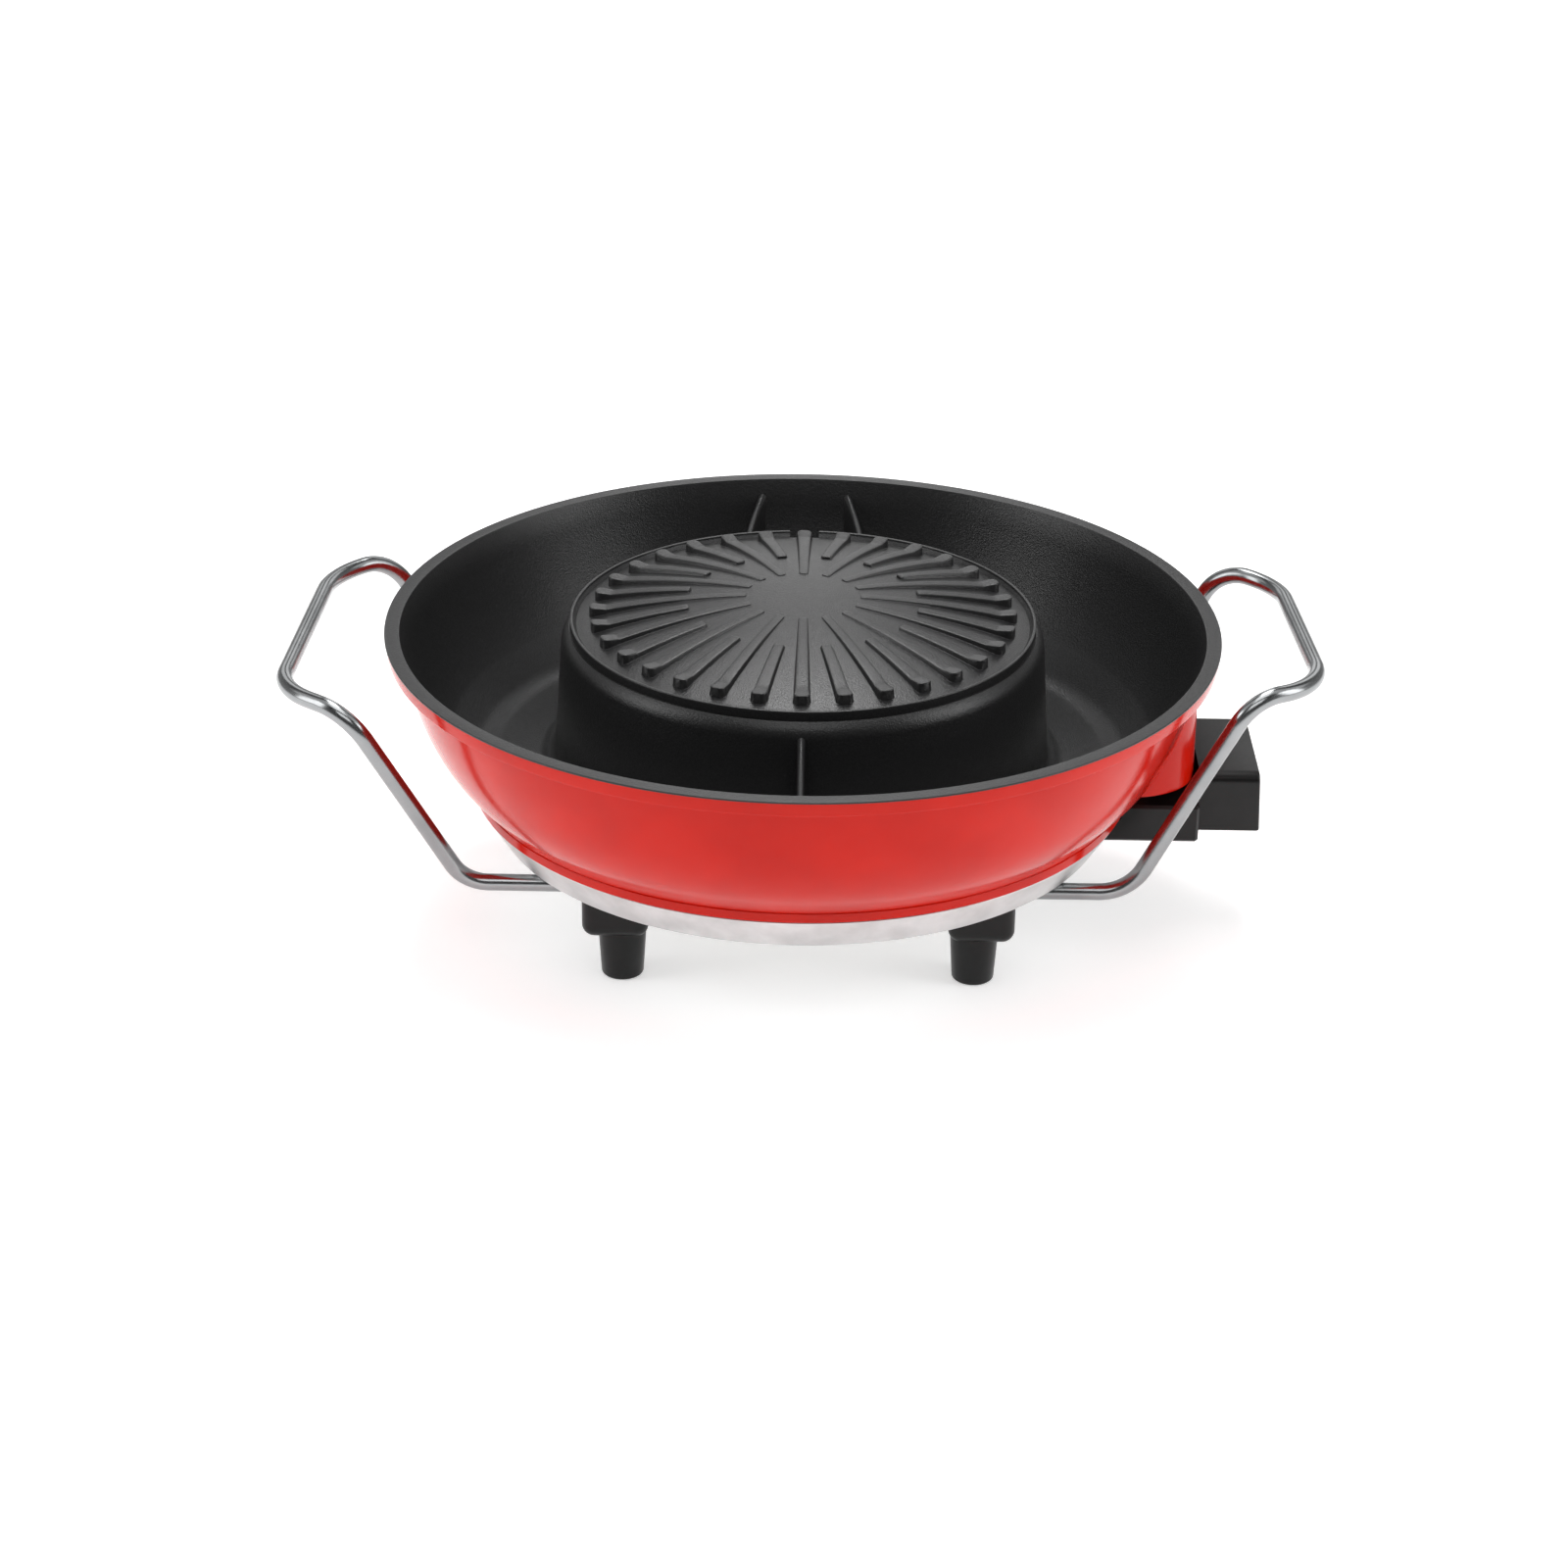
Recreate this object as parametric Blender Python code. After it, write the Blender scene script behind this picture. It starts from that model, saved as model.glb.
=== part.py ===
"""Electric hot pot with a raised ribbed grill in its middle, on chromed wire handles.

One aluminium casting makes the trough, the drum, the grill, the soup dividers and the
terminal shroud. A bare aluminium skirt and a cover close the base round a tubular heater.
A thermostat control plugs into a terminal housing on the +X side, and pulls off along +X.
Metres, +Z up, the origin on the floor below the middle of the pan.
"""

import math

import bmesh
import bpy
from mathutils import Matrix, Vector

# Gaps, overruns and facets
GAP = 0.0003
OVERRUN = 0.002
WELD_DISTANCE = 0.000003
SMOOTH_ANGLE = math.radians(35)
CORNER_SHARE = 0.49
PAN_FACETS = 48
ROUND_FACETS = 20
SMALL_FACETS = 12
SCREW_FACETS = 8
GROOVE_STEPS = 6

# Pan casting: the radii below are taken inward from the rim, the heights up from the skirt
RIM_RADIUS = 0.187
RIM_WIDTH = 0.0067
RIM_LAND = 0.0012
BAND_DEPTH = 0.0097
BAND_TAPER = 0.0064
BAND_STEP = 0.0017
WALL_TAPER = 0.0319
WALL_BULGE_INSET = 0.0069
WALL_BULGE_RISE = 0.0184
WALL_THICKNESS = 0.0036
WALL_STEPS = 5
FLANGE_LIP = 0.0026
FLANGE_THICKNESS = 0.0043
SEAT_WIDTH = 0.0085

# Trough and drum
TROUGH_DEPTH = 0.0655
TROUGH_FLOOR_RISE = 0.0046
TROUGH_FLOOR_THICKNESS = 0.0045
TROUGH_EDGE_INSET = 0.003
TROUGH_FLOOR_WIDTH = 0.0317
TROUGH_FILLET = 0.008
FILLET_STEPS = 3
DRUM_HEIGHT = 0.0681
DRUM_DRAFT = 0.0038
DRUM_WALL = 0.004
SHOULDER_DROP = 0.005
SHOULDER_WIDTH = 0.004
SHOULDER_STEPS = 2

# Grill on the drum
LIP_HEIGHT = 0.0032
LIP_THICKNESS = 0.0015
GUTTER_DEPTH = 0.0024
GUTTER_WIDTH = 0.0035
PLATE_RISE = 0.0129
PLATE_THICKNESS = 0.0055
PLATE_STEPS = 4
NOTCH_WIDTH = 0.014
RIB_COUNT = 32
RIB_INSET = 0.0051
PLAIN_CENTRE_RADIUS = 0.0255
SHORT_RIB_START_SHARE = 0.375
RIB_INNER_WIDTH = 0.0043
RIB_OUTER_WIDTH = 0.0066
RIB_KNOB_WIDTH = 0.0079
RIB_KNOB_LENGTH = 0.0078
RIB_INNER_HEIGHT = 0.0004
RIB_OUTER_HEIGHT = 0.0022
RIB_KNOB_HEIGHT = 0.0046
KNOB_END_SHARES = ((0.6, 0.9), (1.0, 0.55))

# Soup dividers, three thin walls across the trough
FIN_THICKNESS = 0.0034
FIN_TOP_DROP = 0.006
FIN_SAG = 0.004
FIN_STATION_SHARES = (0.0, 0.3, 0.7, 1.0)
BACK_FIN_OFFSET = 0.0208
BACK_FIN_FLARE = 0.0054

# Base skirt and cover
SKIRT_BOTTOM = 0.0477
SKIRT_HEIGHT = 0.0169
SKIRT_INSET = 0.0004
SKIRT_TAPER = 0.0103
SKIRT_WALL = 0.003
SKIRT_CHAMFER = 0.001
SKIRT_FLANGE_THICKNESS = 0.0022
SKIRT_SLOT_MARGIN = 0.002
SKIRT_SLOT_DEPTH = 0.030
SKIRT_SCREW_REACH = 0.024
COVER_INSET = 0.0202
COVER_LAP = 0.008
COVER_THICKNESS = 0.0012
COVER_SCREW_INSET = 0.004
COVER_SCREW_COUNT = 3
COVER_SCREW_START_DEGREES = 70

# Feet, each a saddle over the end of a handle wire with a peg under it
FOOT_INSET = 0.0307
FOOT_DEGREES = 43.88
FOOT_LENGTH = 0.0295
FOOT_WIDTH = 0.026
FOOT_HEEL = 0.012
FOOT_SADDLE_HEIGHT = 0.0251
FOOT_SADDLE_ROUND = 0.0056
PEG_TOP_RADIUS = 0.0107
PEG_BOTTOM_RADIUS = 0.0093
PEG_ROUND = 0.0012
FOOT_BORE_RADIUS = 0.0045
FOOT_BORE_DEPTH = 0.012
FOOT_SCREW_RADIUS = 0.0019
FOOT_SCREW_HEAD_RADIUS = 0.0038
FOOT_SCREW_HEAD = 0.0024
FOOT_SCREW_GRIP = 0.010
BOSS_RADIUS = 0.006

# Handles, one bent wire loop on each side; the two are not bent quite alike
WIRE_RADIUS = 0.0039
WIRE_STOP = 0.001
HANDLE_LOW_REACHES = {"left": 0.0087, "right": 0.0065}
HANDLE_CLEARANCE = 0.0074
HANDLE_GRIP_REACH = 0.0294
HANDLE_GRIP_SKEW = 0.0034
HANDLE_GRIP_NARROWINGS = {"left": 0.0105, "right": 0.0185}
HANDLE_TOP_WIDENINGS = {"left": 0.0149, "right": -0.0004}
HANDLE_TOP_DROPS = {"left": 0.0083, "right": 0.0017}
HANDLE_GRIP_DROPS = {"left": 0.0082, "right": 0.0030}
HANDLE_LOW_BENDS = {"left": 0.0179, "right": 0.0255}
HANDLE_HIGH_BEND = 0.0215
HANDLE_GRIP_BEND = 0.035
HANDLE_CORNER_SHARE = 0.62
HANDLE_BEND_STEPS = 6
HANDLE_BEVEL_STEPS = 3

# Heater, one steel tube with a loop under the trough and a loop under the grill
HEATER_RADIUS = 0.0035
TROUGH_LOOP_OFFSET = 0.0117
GRILL_LOOP_INSET = 0.0385
LOOP_CLEARANCE = 0.0006
RISER_SPACING = 0.0128
HEATER_BEND = 0.0095
HEATER_BEND_STEPS = 2
HEATER_BEVEL_STEPS = 1
HEATER_END_INSET = 0.0057
HEATER_STEP_DEGREES = 18
GRILL_LOOP_STEP_DEGREES = 24
CLAMP_WIDTH = 0.010
CLAMP_LENGTH = 0.0217
CLAMP_THICKNESS = 0.0012
CLAMP_SCREW_OFFSET = 0.0085
CLAMP_BOSS_RADIUS = 0.004
CLAMP_SCREW_RADIUS = 0.0014
CLAMP_SCREW_HEAD_RADIUS = 0.0028
CLAMP_SCREW_HEAD = 0.0016
CLAMP_SCREW_GRIP = 0.004
TROUGH_CLAMP_DEGREES = (100, 190, 280)
GRILL_CLAMP_DEGREES = (105, 225, 330)

# Terminals, probe guide and the housing round them
TERMINAL_DROP = 0.0038
TERMINAL_HALF_PITCH = 0.019
PIN_RADIUS = 0.002
PIN_INSET = 0.0052
PIN_ROUND = 0.0008
INSULATOR_RADIUS = 0.0036
SLEEVE_STAND = 0.0015
HOUSING_REACH = 0.0286
HOUSING_FLOOR = 0.0028
HOUSING_ROOF = 0.0048
HOUSING_EDGE_ROUND = 0.0012
HOUSING_CLEARANCE = 0.0006
POCKET_DEPTH = 0.0222
POCKET_MARGIN = 0.009
POCKET_HALF_HEIGHT = 0.0050
GUIDE_RADIUS = 0.0035
GUIDE_BORE_RADIUS = 0.0028
GUIDE_REACH = 0.058
GUIDE_PAD_LENGTH = 0.016
HOUSING_SCREW_MARGIN = 0.008
HOUSING_SCREW_RADIUS = 0.0015
HOUSING_SCREW_HEAD_RADIUS = 0.003
HOUSING_SCREW_HEAD = 0.0018
HOUSING_SCREW_GRIP = 0.010

# Terminal shroud on the casting, over the housing
SHROUD_INSET = 0.0009
SHROUD_MARGIN = 0.002
SHROUD_GAP = 0.0049
SHROUD_CORNER = 0.024
SHROUD_CORNER_STEPS = 4
SHROUD_WALL = 0.003

# Thermostat control
CONTROL_LENGTH = 0.0282
CONTROL_SIDE = 0.004
CONTROL_HEIGHT = 0.0284
CONTROL_WALL = 0.0022
CONTROL_ROUND = 0.003
NOSE_CLEARANCE = 0.0005
NOSE_TIP_GAP = 0.0013
PLATE_DEPTH = 0.0035
CASE_POST_RADIUS = 0.0035
CASE_POST_INSET = 0.0018
CASE_SCREW_RADIUS = 0.0013
CASE_SCREW_HEAD_RADIUS = 0.0025
CASE_SCREW_HEAD = 0.0018
CASE_SCREW_GRIP = 0.007
SOCKET_RADIUS = 0.0031
SOCKET_BORE_RADIUS = 0.0022
SOCKET_INSET = 0.0023
PROBE_RADIUS = 0.0025
PROBE_TIP_INSET = 0.006
PROBE_TAIL = 0.0072

# Dial in its pocket on the end of the control
DIAL_MARGIN = 0.00295
DIAL_CLEARANCE = 0.0004
DIAL_POCKET_DEPTH = 0.0077
DIAL_POCKET_WALL = 0.0018
DIAL_DISC = 0.0025
DIAL_GRIP_WIDTH = 0.0056
DIAL_GRIP_INSET = 0.00115
DIAL_SINK = 0.0004
SHAFT_RADIUS = 0.0022

# Lamp, cord bushing and switch stack inside the control
FITTING_DROP = 0.0035
LENS_RADIUS = 0.0027
LENS_LENGTH = 0.004
LAMP_RADIUS = 0.0024
BUSHING_RADIUS = 0.005
BUSHING_BORE_RADIUS = 0.0035
BUSHING_LENGTH = 0.006
STACK_HALF_WIDTH = 0.005
STACK_BLOCK_DEPTH = 0.0035
STACK_BLOCK_HEIGHT = 0.008
STACK_SPACER_DEPTH = 0.0012
STACK_SPACER_HEIGHT = 0.004
BLADE_THICKNESS = 0.0006
BLADE_LENGTH = 0.011

# Colours as seen: red paint, dark coating, bare and plated metal, plastics
RED_PAINT = ((0.52, 0.022, 0.010), 0.28, 0.0)
BARE_ALUMINIUM = ((0.62, 0.62, 0.61), 0.42, 1.0)
CHROME = ((0.62, 0.61, 0.60), 0.12, 1.0)
HEATER_STEEL = ((0.16, 0.15, 0.14), 0.45, 1.0)
PLATED_STEEL = ((0.55, 0.55, 0.53), 0.30, 1.0)
BRASS = ((0.60, 0.45, 0.18), 0.30, 1.0)
CERAMIC = ((0.80, 0.78, 0.72), 0.55, 0.0)
BLACK_PLASTIC = ((0.018, 0.018, 0.019), 0.38, 0.0)
AMBER_LENS = ((0.65, 0.22, 0.03), 0.15, 0.0)
LAMP_GLASS = ((0.70, 0.66, 0.60), 0.10, 0.0)

# Radii that follow the rim
RIM_INNER_RADIUS = RIM_RADIUS - RIM_WIDTH
BAND_FOOT_RADIUS = RIM_RADIUS - BAND_TAPER
WALL_TOP_RADIUS = BAND_FOOT_RADIUS - BAND_STEP
WALL_BULGE_RADIUS = WALL_TOP_RADIUS - WALL_BULGE_INSET
WALL_FOOT_RADIUS = WALL_TOP_RADIUS - WALL_TAPER
FLANGE_RADIUS = WALL_FOOT_RADIUS + FLANGE_LIP
TROUGH_OUTER_RADIUS = WALL_FOOT_RADIUS - TROUGH_EDGE_INSET
DRUM_FOOT_RADIUS = TROUGH_OUTER_RADIUS - TROUGH_FLOOR_WIDTH
DRUM_TOP_RADIUS = DRUM_FOOT_RADIUS - DRUM_DRAFT
LIP_RADIUS = DRUM_TOP_RADIUS - SHOULDER_WIDTH
PLATE_RADIUS = LIP_RADIUS - GUTTER_WIDTH
RIB_OUTER_RADIUS = PLATE_RADIUS - RIB_INSET
SKIRT_TOP_RADIUS = FLANGE_RADIUS - SKIRT_INSET
SKIRT_BOTTOM_RADIUS = SKIRT_TOP_RADIUS - SKIRT_TAPER
FOOT_CIRCLE_RADIUS = SKIRT_BOTTOM_RADIUS - FOOT_INSET
FOOT_X = FOOT_CIRCLE_RADIUS * math.cos(math.radians(FOOT_DEGREES))
FOOT_Y = FOOT_CIRCLE_RADIUS * math.sin(math.radians(FOOT_DEGREES))
COVER_RADIUS = FOOT_CIRCLE_RADIUS - COVER_INSET
COVER_SCREW_RADIUS = COVER_RADIUS - COVER_SCREW_INSET
SKIRT_OPENING_RADIUS = COVER_RADIUS - COVER_LAP
TROUGH_LOOP_RADIUS = DRUM_FOOT_RADIUS + TROUGH_LOOP_OFFSET
GRILL_LOOP_RADIUS = DRUM_TOP_RADIUS - GRILL_LOOP_INSET
SHROUD_RADIUS = WALL_TOP_RADIUS - SHROUD_INSET

# Heights, from the skirt up
COVER_TOP = SKIRT_BOTTOM - GAP
FOOT_TOP = SKIRT_BOTTOM - GAP
FOOT_SADDLE_BOTTOM = FOOT_TOP - FOOT_SADDLE_HEIGHT
WIRE_HEIGHT = FOOT_TOP - WIRE_RADIUS
SKIRT_FLANGE_TOP = SKIRT_BOTTOM + SKIRT_FLANGE_THICKNESS
FLANGE_BOTTOM = SKIRT_BOTTOM + SKIRT_HEIGHT
FLANGE_TOP = FLANGE_BOTTOM + FLANGE_THICKNESS
TROUGH_FLOOR = FLANGE_TOP + TROUGH_FLOOR_RISE
FLOOR_UNDERSIDE = TROUGH_FLOOR - TROUGH_FLOOR_THICKNESS
WALL_BULGE_HEIGHT = FLANGE_TOP + WALL_BULGE_RISE
RIM_HEIGHT = TROUGH_FLOOR + TROUGH_DEPTH
BAND_FOOT = RIM_HEIGHT - BAND_DEPTH
LIP_TOP = TROUGH_FLOOR + DRUM_HEIGHT
SHOULDER_HEIGHT = LIP_TOP - LIP_HEIGHT
GUTTER_FLOOR = LIP_TOP - GUTTER_DEPTH
PLATE_CENTRE = GUTTER_FLOOR + PLATE_RISE
TROUGH_LOOP_HEIGHT = FLOOR_UNDERSIDE - GAP - HEATER_RADIUS
TERMINAL_HEIGHT = FLANGE_BOTTOM - TERMINAL_DROP
HOUSING_BOTTOM = TERMINAL_HEIGHT - POCKET_HALF_HEIGHT - HOUSING_FLOOR
HOUSING_TOP = TERMINAL_HEIGHT + POCKET_HALF_HEIGHT + HOUSING_ROOF
SHROUD_BOTTOM = HOUSING_TOP + SHROUD_GAP
CONTROL_TOP = HOUSING_BOTTOM + CONTROL_HEIGHT
DIAL_HEIGHT = HOUSING_BOTTOM + CONTROL_HEIGHT / 2
FITTING_HEIGHT = DIAL_HEIGHT - FITTING_DROP
STACK_FOOT_HEIGHT = TERMINAL_HEIGHT + PROBE_RADIUS + 2 * GAP

# Places along X, out from the pan to the end of the control
WIRE_START_X = FOOT_X + FOOT_SCREW_RADIUS + 2 * GAP + WIRE_STOP
HANDLE_HIGH_X = RIM_RADIUS + HANDLE_CLEARANCE
HANDLE_GRIP_X = HANDLE_HIGH_X + HANDLE_GRIP_REACH
HEATER_END_X = SKIRT_TOP_RADIUS - HEATER_END_INSET
HOUSING_END_X = FLANGE_RADIUS + HOUSING_REACH
POCKET_BACK_X = HOUSING_END_X - POCKET_DEPTH
SLEEVE_END_X = POCKET_BACK_X + SLEEVE_STAND
PIN_END_X = HOUSING_END_X - PIN_INSET
GUIDE_INNER_X = POCKET_BACK_X - GUIDE_REACH
PROBE_TIP_X = GUIDE_INNER_X + PROBE_TIP_INSET
NOSE_TIP_X = SLEEVE_END_X + NOSE_TIP_GAP
CONTROL_START_X = HOUSING_END_X + 2 * GAP
CONTROL_END_X = CONTROL_START_X + CONTROL_LENGTH
SOCKET_END_X = CONTROL_START_X - SOCKET_INSET
PLATE_BACK_X = CONTROL_START_X + PLATE_DEPTH
PROBE_ROOT_X = PLATE_BACK_X + PROBE_TAIL
STACK_END_X = PLATE_BACK_X + 4 * GAP + STACK_BLOCK_DEPTH + STACK_SPACER_DEPTH + 2 * BLADE_THICKNESS
DIAL_POCKET_FLOOR_X = CONTROL_END_X - DIAL_POCKET_DEPTH

# Half widths along Y, and the dial's radii
POCKET_HALF_WIDTH = TERMINAL_HALF_PITCH + POCKET_MARGIN
SKIRT_SLOT_HALF_WIDTH = POCKET_HALF_WIDTH + SKIRT_SLOT_MARGIN
HOUSING_SCREW_Y = POCKET_HALF_WIDTH + HOUSING_SCREW_MARGIN
HOUSING_HALF_WIDTH = HOUSING_SCREW_Y + HOUSING_SCREW_MARGIN
SHROUD_HALF_WIDTH = HOUSING_HALF_WIDTH + SHROUD_MARGIN
CONTROL_HALF_WIDTH = POCKET_HALF_WIDTH + CONTROL_SIDE
CASE_SCREW_Y = CONTROL_HALF_WIDTH - CONTROL_WALL - CASE_POST_RADIUS - CASE_POST_INSET
DIAL_RADIUS = CONTROL_HEIGHT / 2 - DIAL_MARGIN
DIAL_POCKET_RADIUS = DIAL_RADIUS + DIAL_CLEARANCE
FITTING_Y = (DIAL_POCKET_RADIUS + DIAL_POCKET_WALL + CONTROL_HALF_WIDTH - CONTROL_WALL) / 2


def clear_scene():
    for obj in list(bpy.data.objects):
        bpy.data.objects.remove(obj, do_unlink=True)


def make_material(name, look):
    colour, roughness, metallic = look
    material = bpy.data.materials.new(name)
    material.use_nodes = True
    shader = material.node_tree.nodes["Principled BSDF"]
    shader.inputs["Base Color"].default_value = (*colour, 1.0)
    shader.inputs["Roughness"].default_value = roughness
    shader.inputs["Metallic"].default_value = metallic
    material.diffuse_color = (*colour, 1.0)
    return material


def add_object(name, mesh_or_curve, look=None, parent=None):
    """Link a new object; with no look it is a cutter or a guide and stays out of the model."""
    obj = bpy.data.objects.new(name, mesh_or_curve)
    bpy.context.scene.collection.objects.link(obj)
    if look is None:
        obj.hide_render = True
        obj.display_type = "WIRE"
    else:
        mesh_or_curve.materials.append(make_material(name, look))
    if parent is not None:
        obj.parent = parent
    return obj


def mesh_from(bm, name):
    bmesh.ops.recalc_face_normals(bm, faces=bm.faces)
    mesh = bpy.data.meshes.new(name)
    bm.to_mesh(mesh)
    bm.free()
    mesh.shade_smooth()
    mesh.set_sharp_from_angle(angle=SMOOTH_ANGLE)
    return mesh


def turn_profile(points, facets, closed=False):
    """Spin a (radius, height) outline about Z. An open outline starts and ends on the axis."""
    bm = bmesh.new()
    verts = [bm.verts.new((radius, 0, height)) for radius, height in points]
    pairs = list(zip(verts, verts[1:]))
    if closed:
        pairs.append((verts[-1], verts[0]))
    edges = [bm.edges.new(pair) for pair in pairs]
    bmesh.ops.spin(bm, geom=verts + edges, axis=(0, 0, 1), cent=(0, 0, 0),
                   angle=math.tau, steps=facets, use_merge=True)
    bmesh.ops.remove_doubles(bm, verts=bm.verts, dist=WELD_DISTANCE)
    return bm


def along_x(bm):
    """Turn a piece that was made about Z so that its axis runs along +X."""
    bmesh.ops.rotate(bm, verts=bm.verts, cent=(0, 0, 0), matrix=Matrix.Rotation(math.pi / 2, 3, "Y"))
    return bm


def rod(radius, start, end, facets, round_tip=0.0):
    """A solid rod on the Z axis; its far end is chamfered by round_tip."""
    points = [(0, start), (radius, start), (radius, end - round_tip)]
    if round_tip:
        points.append((radius - round_tip, end))
    else:
        points[-1] = (radius, end)
    points.append((0, end))
    return turn_profile(points, facets)


def tube(outer, inner, start, end, facets):
    return turn_profile([(inner, start), (outer, start), (outer, end), (inner, end)], facets, closed=True)


def box(low, high):
    bm = bmesh.new()
    bmesh.ops.create_cube(bm, size=1.0)
    low, high = Vector(low), Vector(high)
    size = high - low
    bmesh.ops.scale(bm, vec=size, verts=bm.verts)
    bmesh.ops.translate(bm, vec=(low + high) / 2, verts=bm.verts)
    return bm


def prism(outline, bottom, top):
    """Extrude a plan outline from one height to another."""
    bm = bmesh.new()
    face = bm.faces.new([bm.verts.new((x, y, bottom)) for x, y in outline])
    grown = bmesh.ops.extrude_face_region(bm, geom=[face])
    verts = [item for item in grown["geom"] if isinstance(item, bmesh.types.BMVert)]
    bmesh.ops.translate(bm, vec=(0, 0, top - bottom), verts=verts)
    return bm


def merged(parts):
    """Put several loose bmeshes into one."""
    whole = bmesh.new()
    for part in parts:
        mesh = bpy.data.meshes.new("part")
        part.to_mesh(mesh)
        part.free()
        whole.from_mesh(mesh)
        bpy.data.meshes.remove(mesh)
    return whole


def moved(bm, offset):
    bmesh.ops.translate(bm, vec=offset, verts=bm.verts)
    return bm


def turned_about_z(bm, angle):
    bmesh.ops.rotate(bm, verts=bm.verts, cent=(0, 0, 0), matrix=Matrix.Rotation(angle, 3, "Z"))
    return bm


def attach(target, guide, operation):
    modifier = target.modifiers.new(guide.name, "BOOLEAN")
    modifier.operation = operation
    modifier.solver = "EXACT"
    modifier.object = guide


def combine(target, bm, operation, parent=None):
    """Join a shape to the target, or cut it out, with a Boolean modifier."""
    name = f"{target.name}_{operation.lower()}_{len(target.modifiers)}"
    attach(target, add_object(name, mesh_from(bm, name), parent=parent), operation)


def bend_corners(corners, radii, steps, share=CORNER_SHARE):
    """Replace the inner corners of a path by arcs that take up to a share of each side."""
    path = [Vector(corners[0])]
    for index in range(1, len(corners) - 1):
        corner = Vector(corners[index])
        back = Vector(corners[index - 1]) - corner
        ahead = Vector(corners[index + 1]) - corner
        half = back.angle(ahead) / 2
        reach = min(radii[index] / math.tan(half), share * back.length, share * ahead.length)
        radius = reach * math.tan(half)
        back.normalize()
        ahead.normalize()
        centre = corner + (back + ahead).normalized() * radius / math.sin(half)
        start = (corner + back * reach - centre).normalized()
        end = (corner + ahead * reach - centre).normalized()
        for step in range(steps + 1):
            path.append(centre + radius * start.slerp(end, step / steps))
    path.append(Vector(corners[-1]))
    return path


def wire(name, path, radius, sides_resolution):
    curve = bpy.data.curves.new(name, "CURVE")
    curve.dimensions = "3D"
    curve.bevel_depth = radius
    curve.bevel_resolution = sides_resolution
    curve.use_fill_caps = True
    spline = curve.splines.new("POLY")
    spline.points.add(len(path) - 1)
    for point, place in zip(spline.points, path):
        point.co = (*place, 1.0)
    return curve


def bezier(start, middle, end, steps):
    points = []
    for step in range(steps + 1):
        t = step / steps
        points.append(tuple((1 - t) ** 2 * a + 2 * t * (1 - t) * b + t * t * c
                            for a, b, c in zip(start, middle, end)))
    return points


def outer_wall(offset=0.0):
    """The outside of the bowl from the band down to the flange, moved outward by offset."""
    return bezier((WALL_TOP_RADIUS + offset, BAND_FOOT),
                  (WALL_BULGE_RADIUS + offset, WALL_BULGE_HEIGHT),
                  (WALL_FOOT_RADIUS + offset, FLANGE_TOP), WALL_STEPS)


def inner_wall():
    """The inside of the bowl from the rim down to the trough floor."""
    lead_in = [(RIM_INNER_RADIUS, RIM_HEIGHT),
               (RIM_INNER_RADIUS - RIM_LAND, RIM_HEIGHT - RIM_LAND),
               ((RIM_INNER_RADIUS + WALL_TOP_RADIUS) / 2 - WALL_THICKNESS, (RIM_HEIGHT + BAND_FOOT) / 2)]
    curve = bezier((WALL_TOP_RADIUS - WALL_THICKNESS, BAND_FOOT),
                   (WALL_BULGE_RADIUS - WALL_THICKNESS, WALL_BULGE_HEIGHT + WALL_THICKNESS),
                   (TROUGH_OUTER_RADIUS, TROUGH_FLOOR), WALL_STEPS)
    return lead_in + curve


def plate_height(radius):
    """Top of the grill plate between its ribs."""
    return PLATE_CENTRE - PLATE_RISE * (min(radius, PLATE_RADIUS) / PLATE_RADIUS) ** 2


def plate_radii():
    return [PLATE_RADIUS * step / PLATE_STEPS for step in range(PLATE_STEPS + 1)]


def pan_profile():
    """The casting's closed section: top side outward, then down the outside and back underneath."""
    lip_inner = LIP_RADIUS - LIP_THICKNESS
    top = [(radius, plate_height(radius)) for radius in plate_radii()]
    top += [(lip_inner - LIP_THICKNESS, GUTTER_FLOOR), (lip_inner, GUTTER_FLOOR + LIP_THICKNESS)]
    top += [(lip_inner, LIP_TOP), (LIP_RADIUS, LIP_TOP), (LIP_RADIUS, SHOULDER_HEIGHT)]
    shoulder_low = (DRUM_TOP_RADIUS, SHOULDER_HEIGHT - SHOULDER_DROP)
    top += bezier((LIP_RADIUS + LIP_THICKNESS, SHOULDER_HEIGHT), (DRUM_TOP_RADIUS, SHOULDER_HEIGHT),
                  shoulder_low, SHOULDER_STEPS)
    floor = bezier((DRUM_FOOT_RADIUS, TROUGH_FLOOR + TROUGH_FILLET), (DRUM_FOOT_RADIUS, TROUGH_FLOOR),
                   (DRUM_FOOT_RADIUS + TROUGH_FILLET, TROUGH_FLOOR), FILLET_STEPS)
    inside = list(reversed(inner_wall()))
    outside = [(RIM_RADIUS, RIM_HEIGHT), (RIM_RADIUS, RIM_HEIGHT - RIM_LAND), (BAND_FOOT_RADIUS, BAND_FOOT)]
    outside += outer_wall()
    outside += [(FLANGE_RADIUS, FLANGE_TOP), (FLANGE_RADIUS, FLANGE_BOTTOM)]
    seat = FLANGE_RADIUS - SEAT_WIDTH
    under = [(seat, FLANGE_BOTTOM), (seat - TROUGH_FLOOR_THICKNESS, FLOOR_UNDERSIDE)]
    under += [(DRUM_FOOT_RADIUS - DRUM_WALL, FLOOR_UNDERSIDE),
              (DRUM_TOP_RADIUS - DRUM_WALL, plate_height(PLATE_RADIUS) - 2 * PLATE_THICKNESS)]
    under += [(radius, plate_height(radius) - PLATE_THICKNESS) for radius in reversed(plate_radii())]
    return top + floor + inside + outside + under


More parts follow.
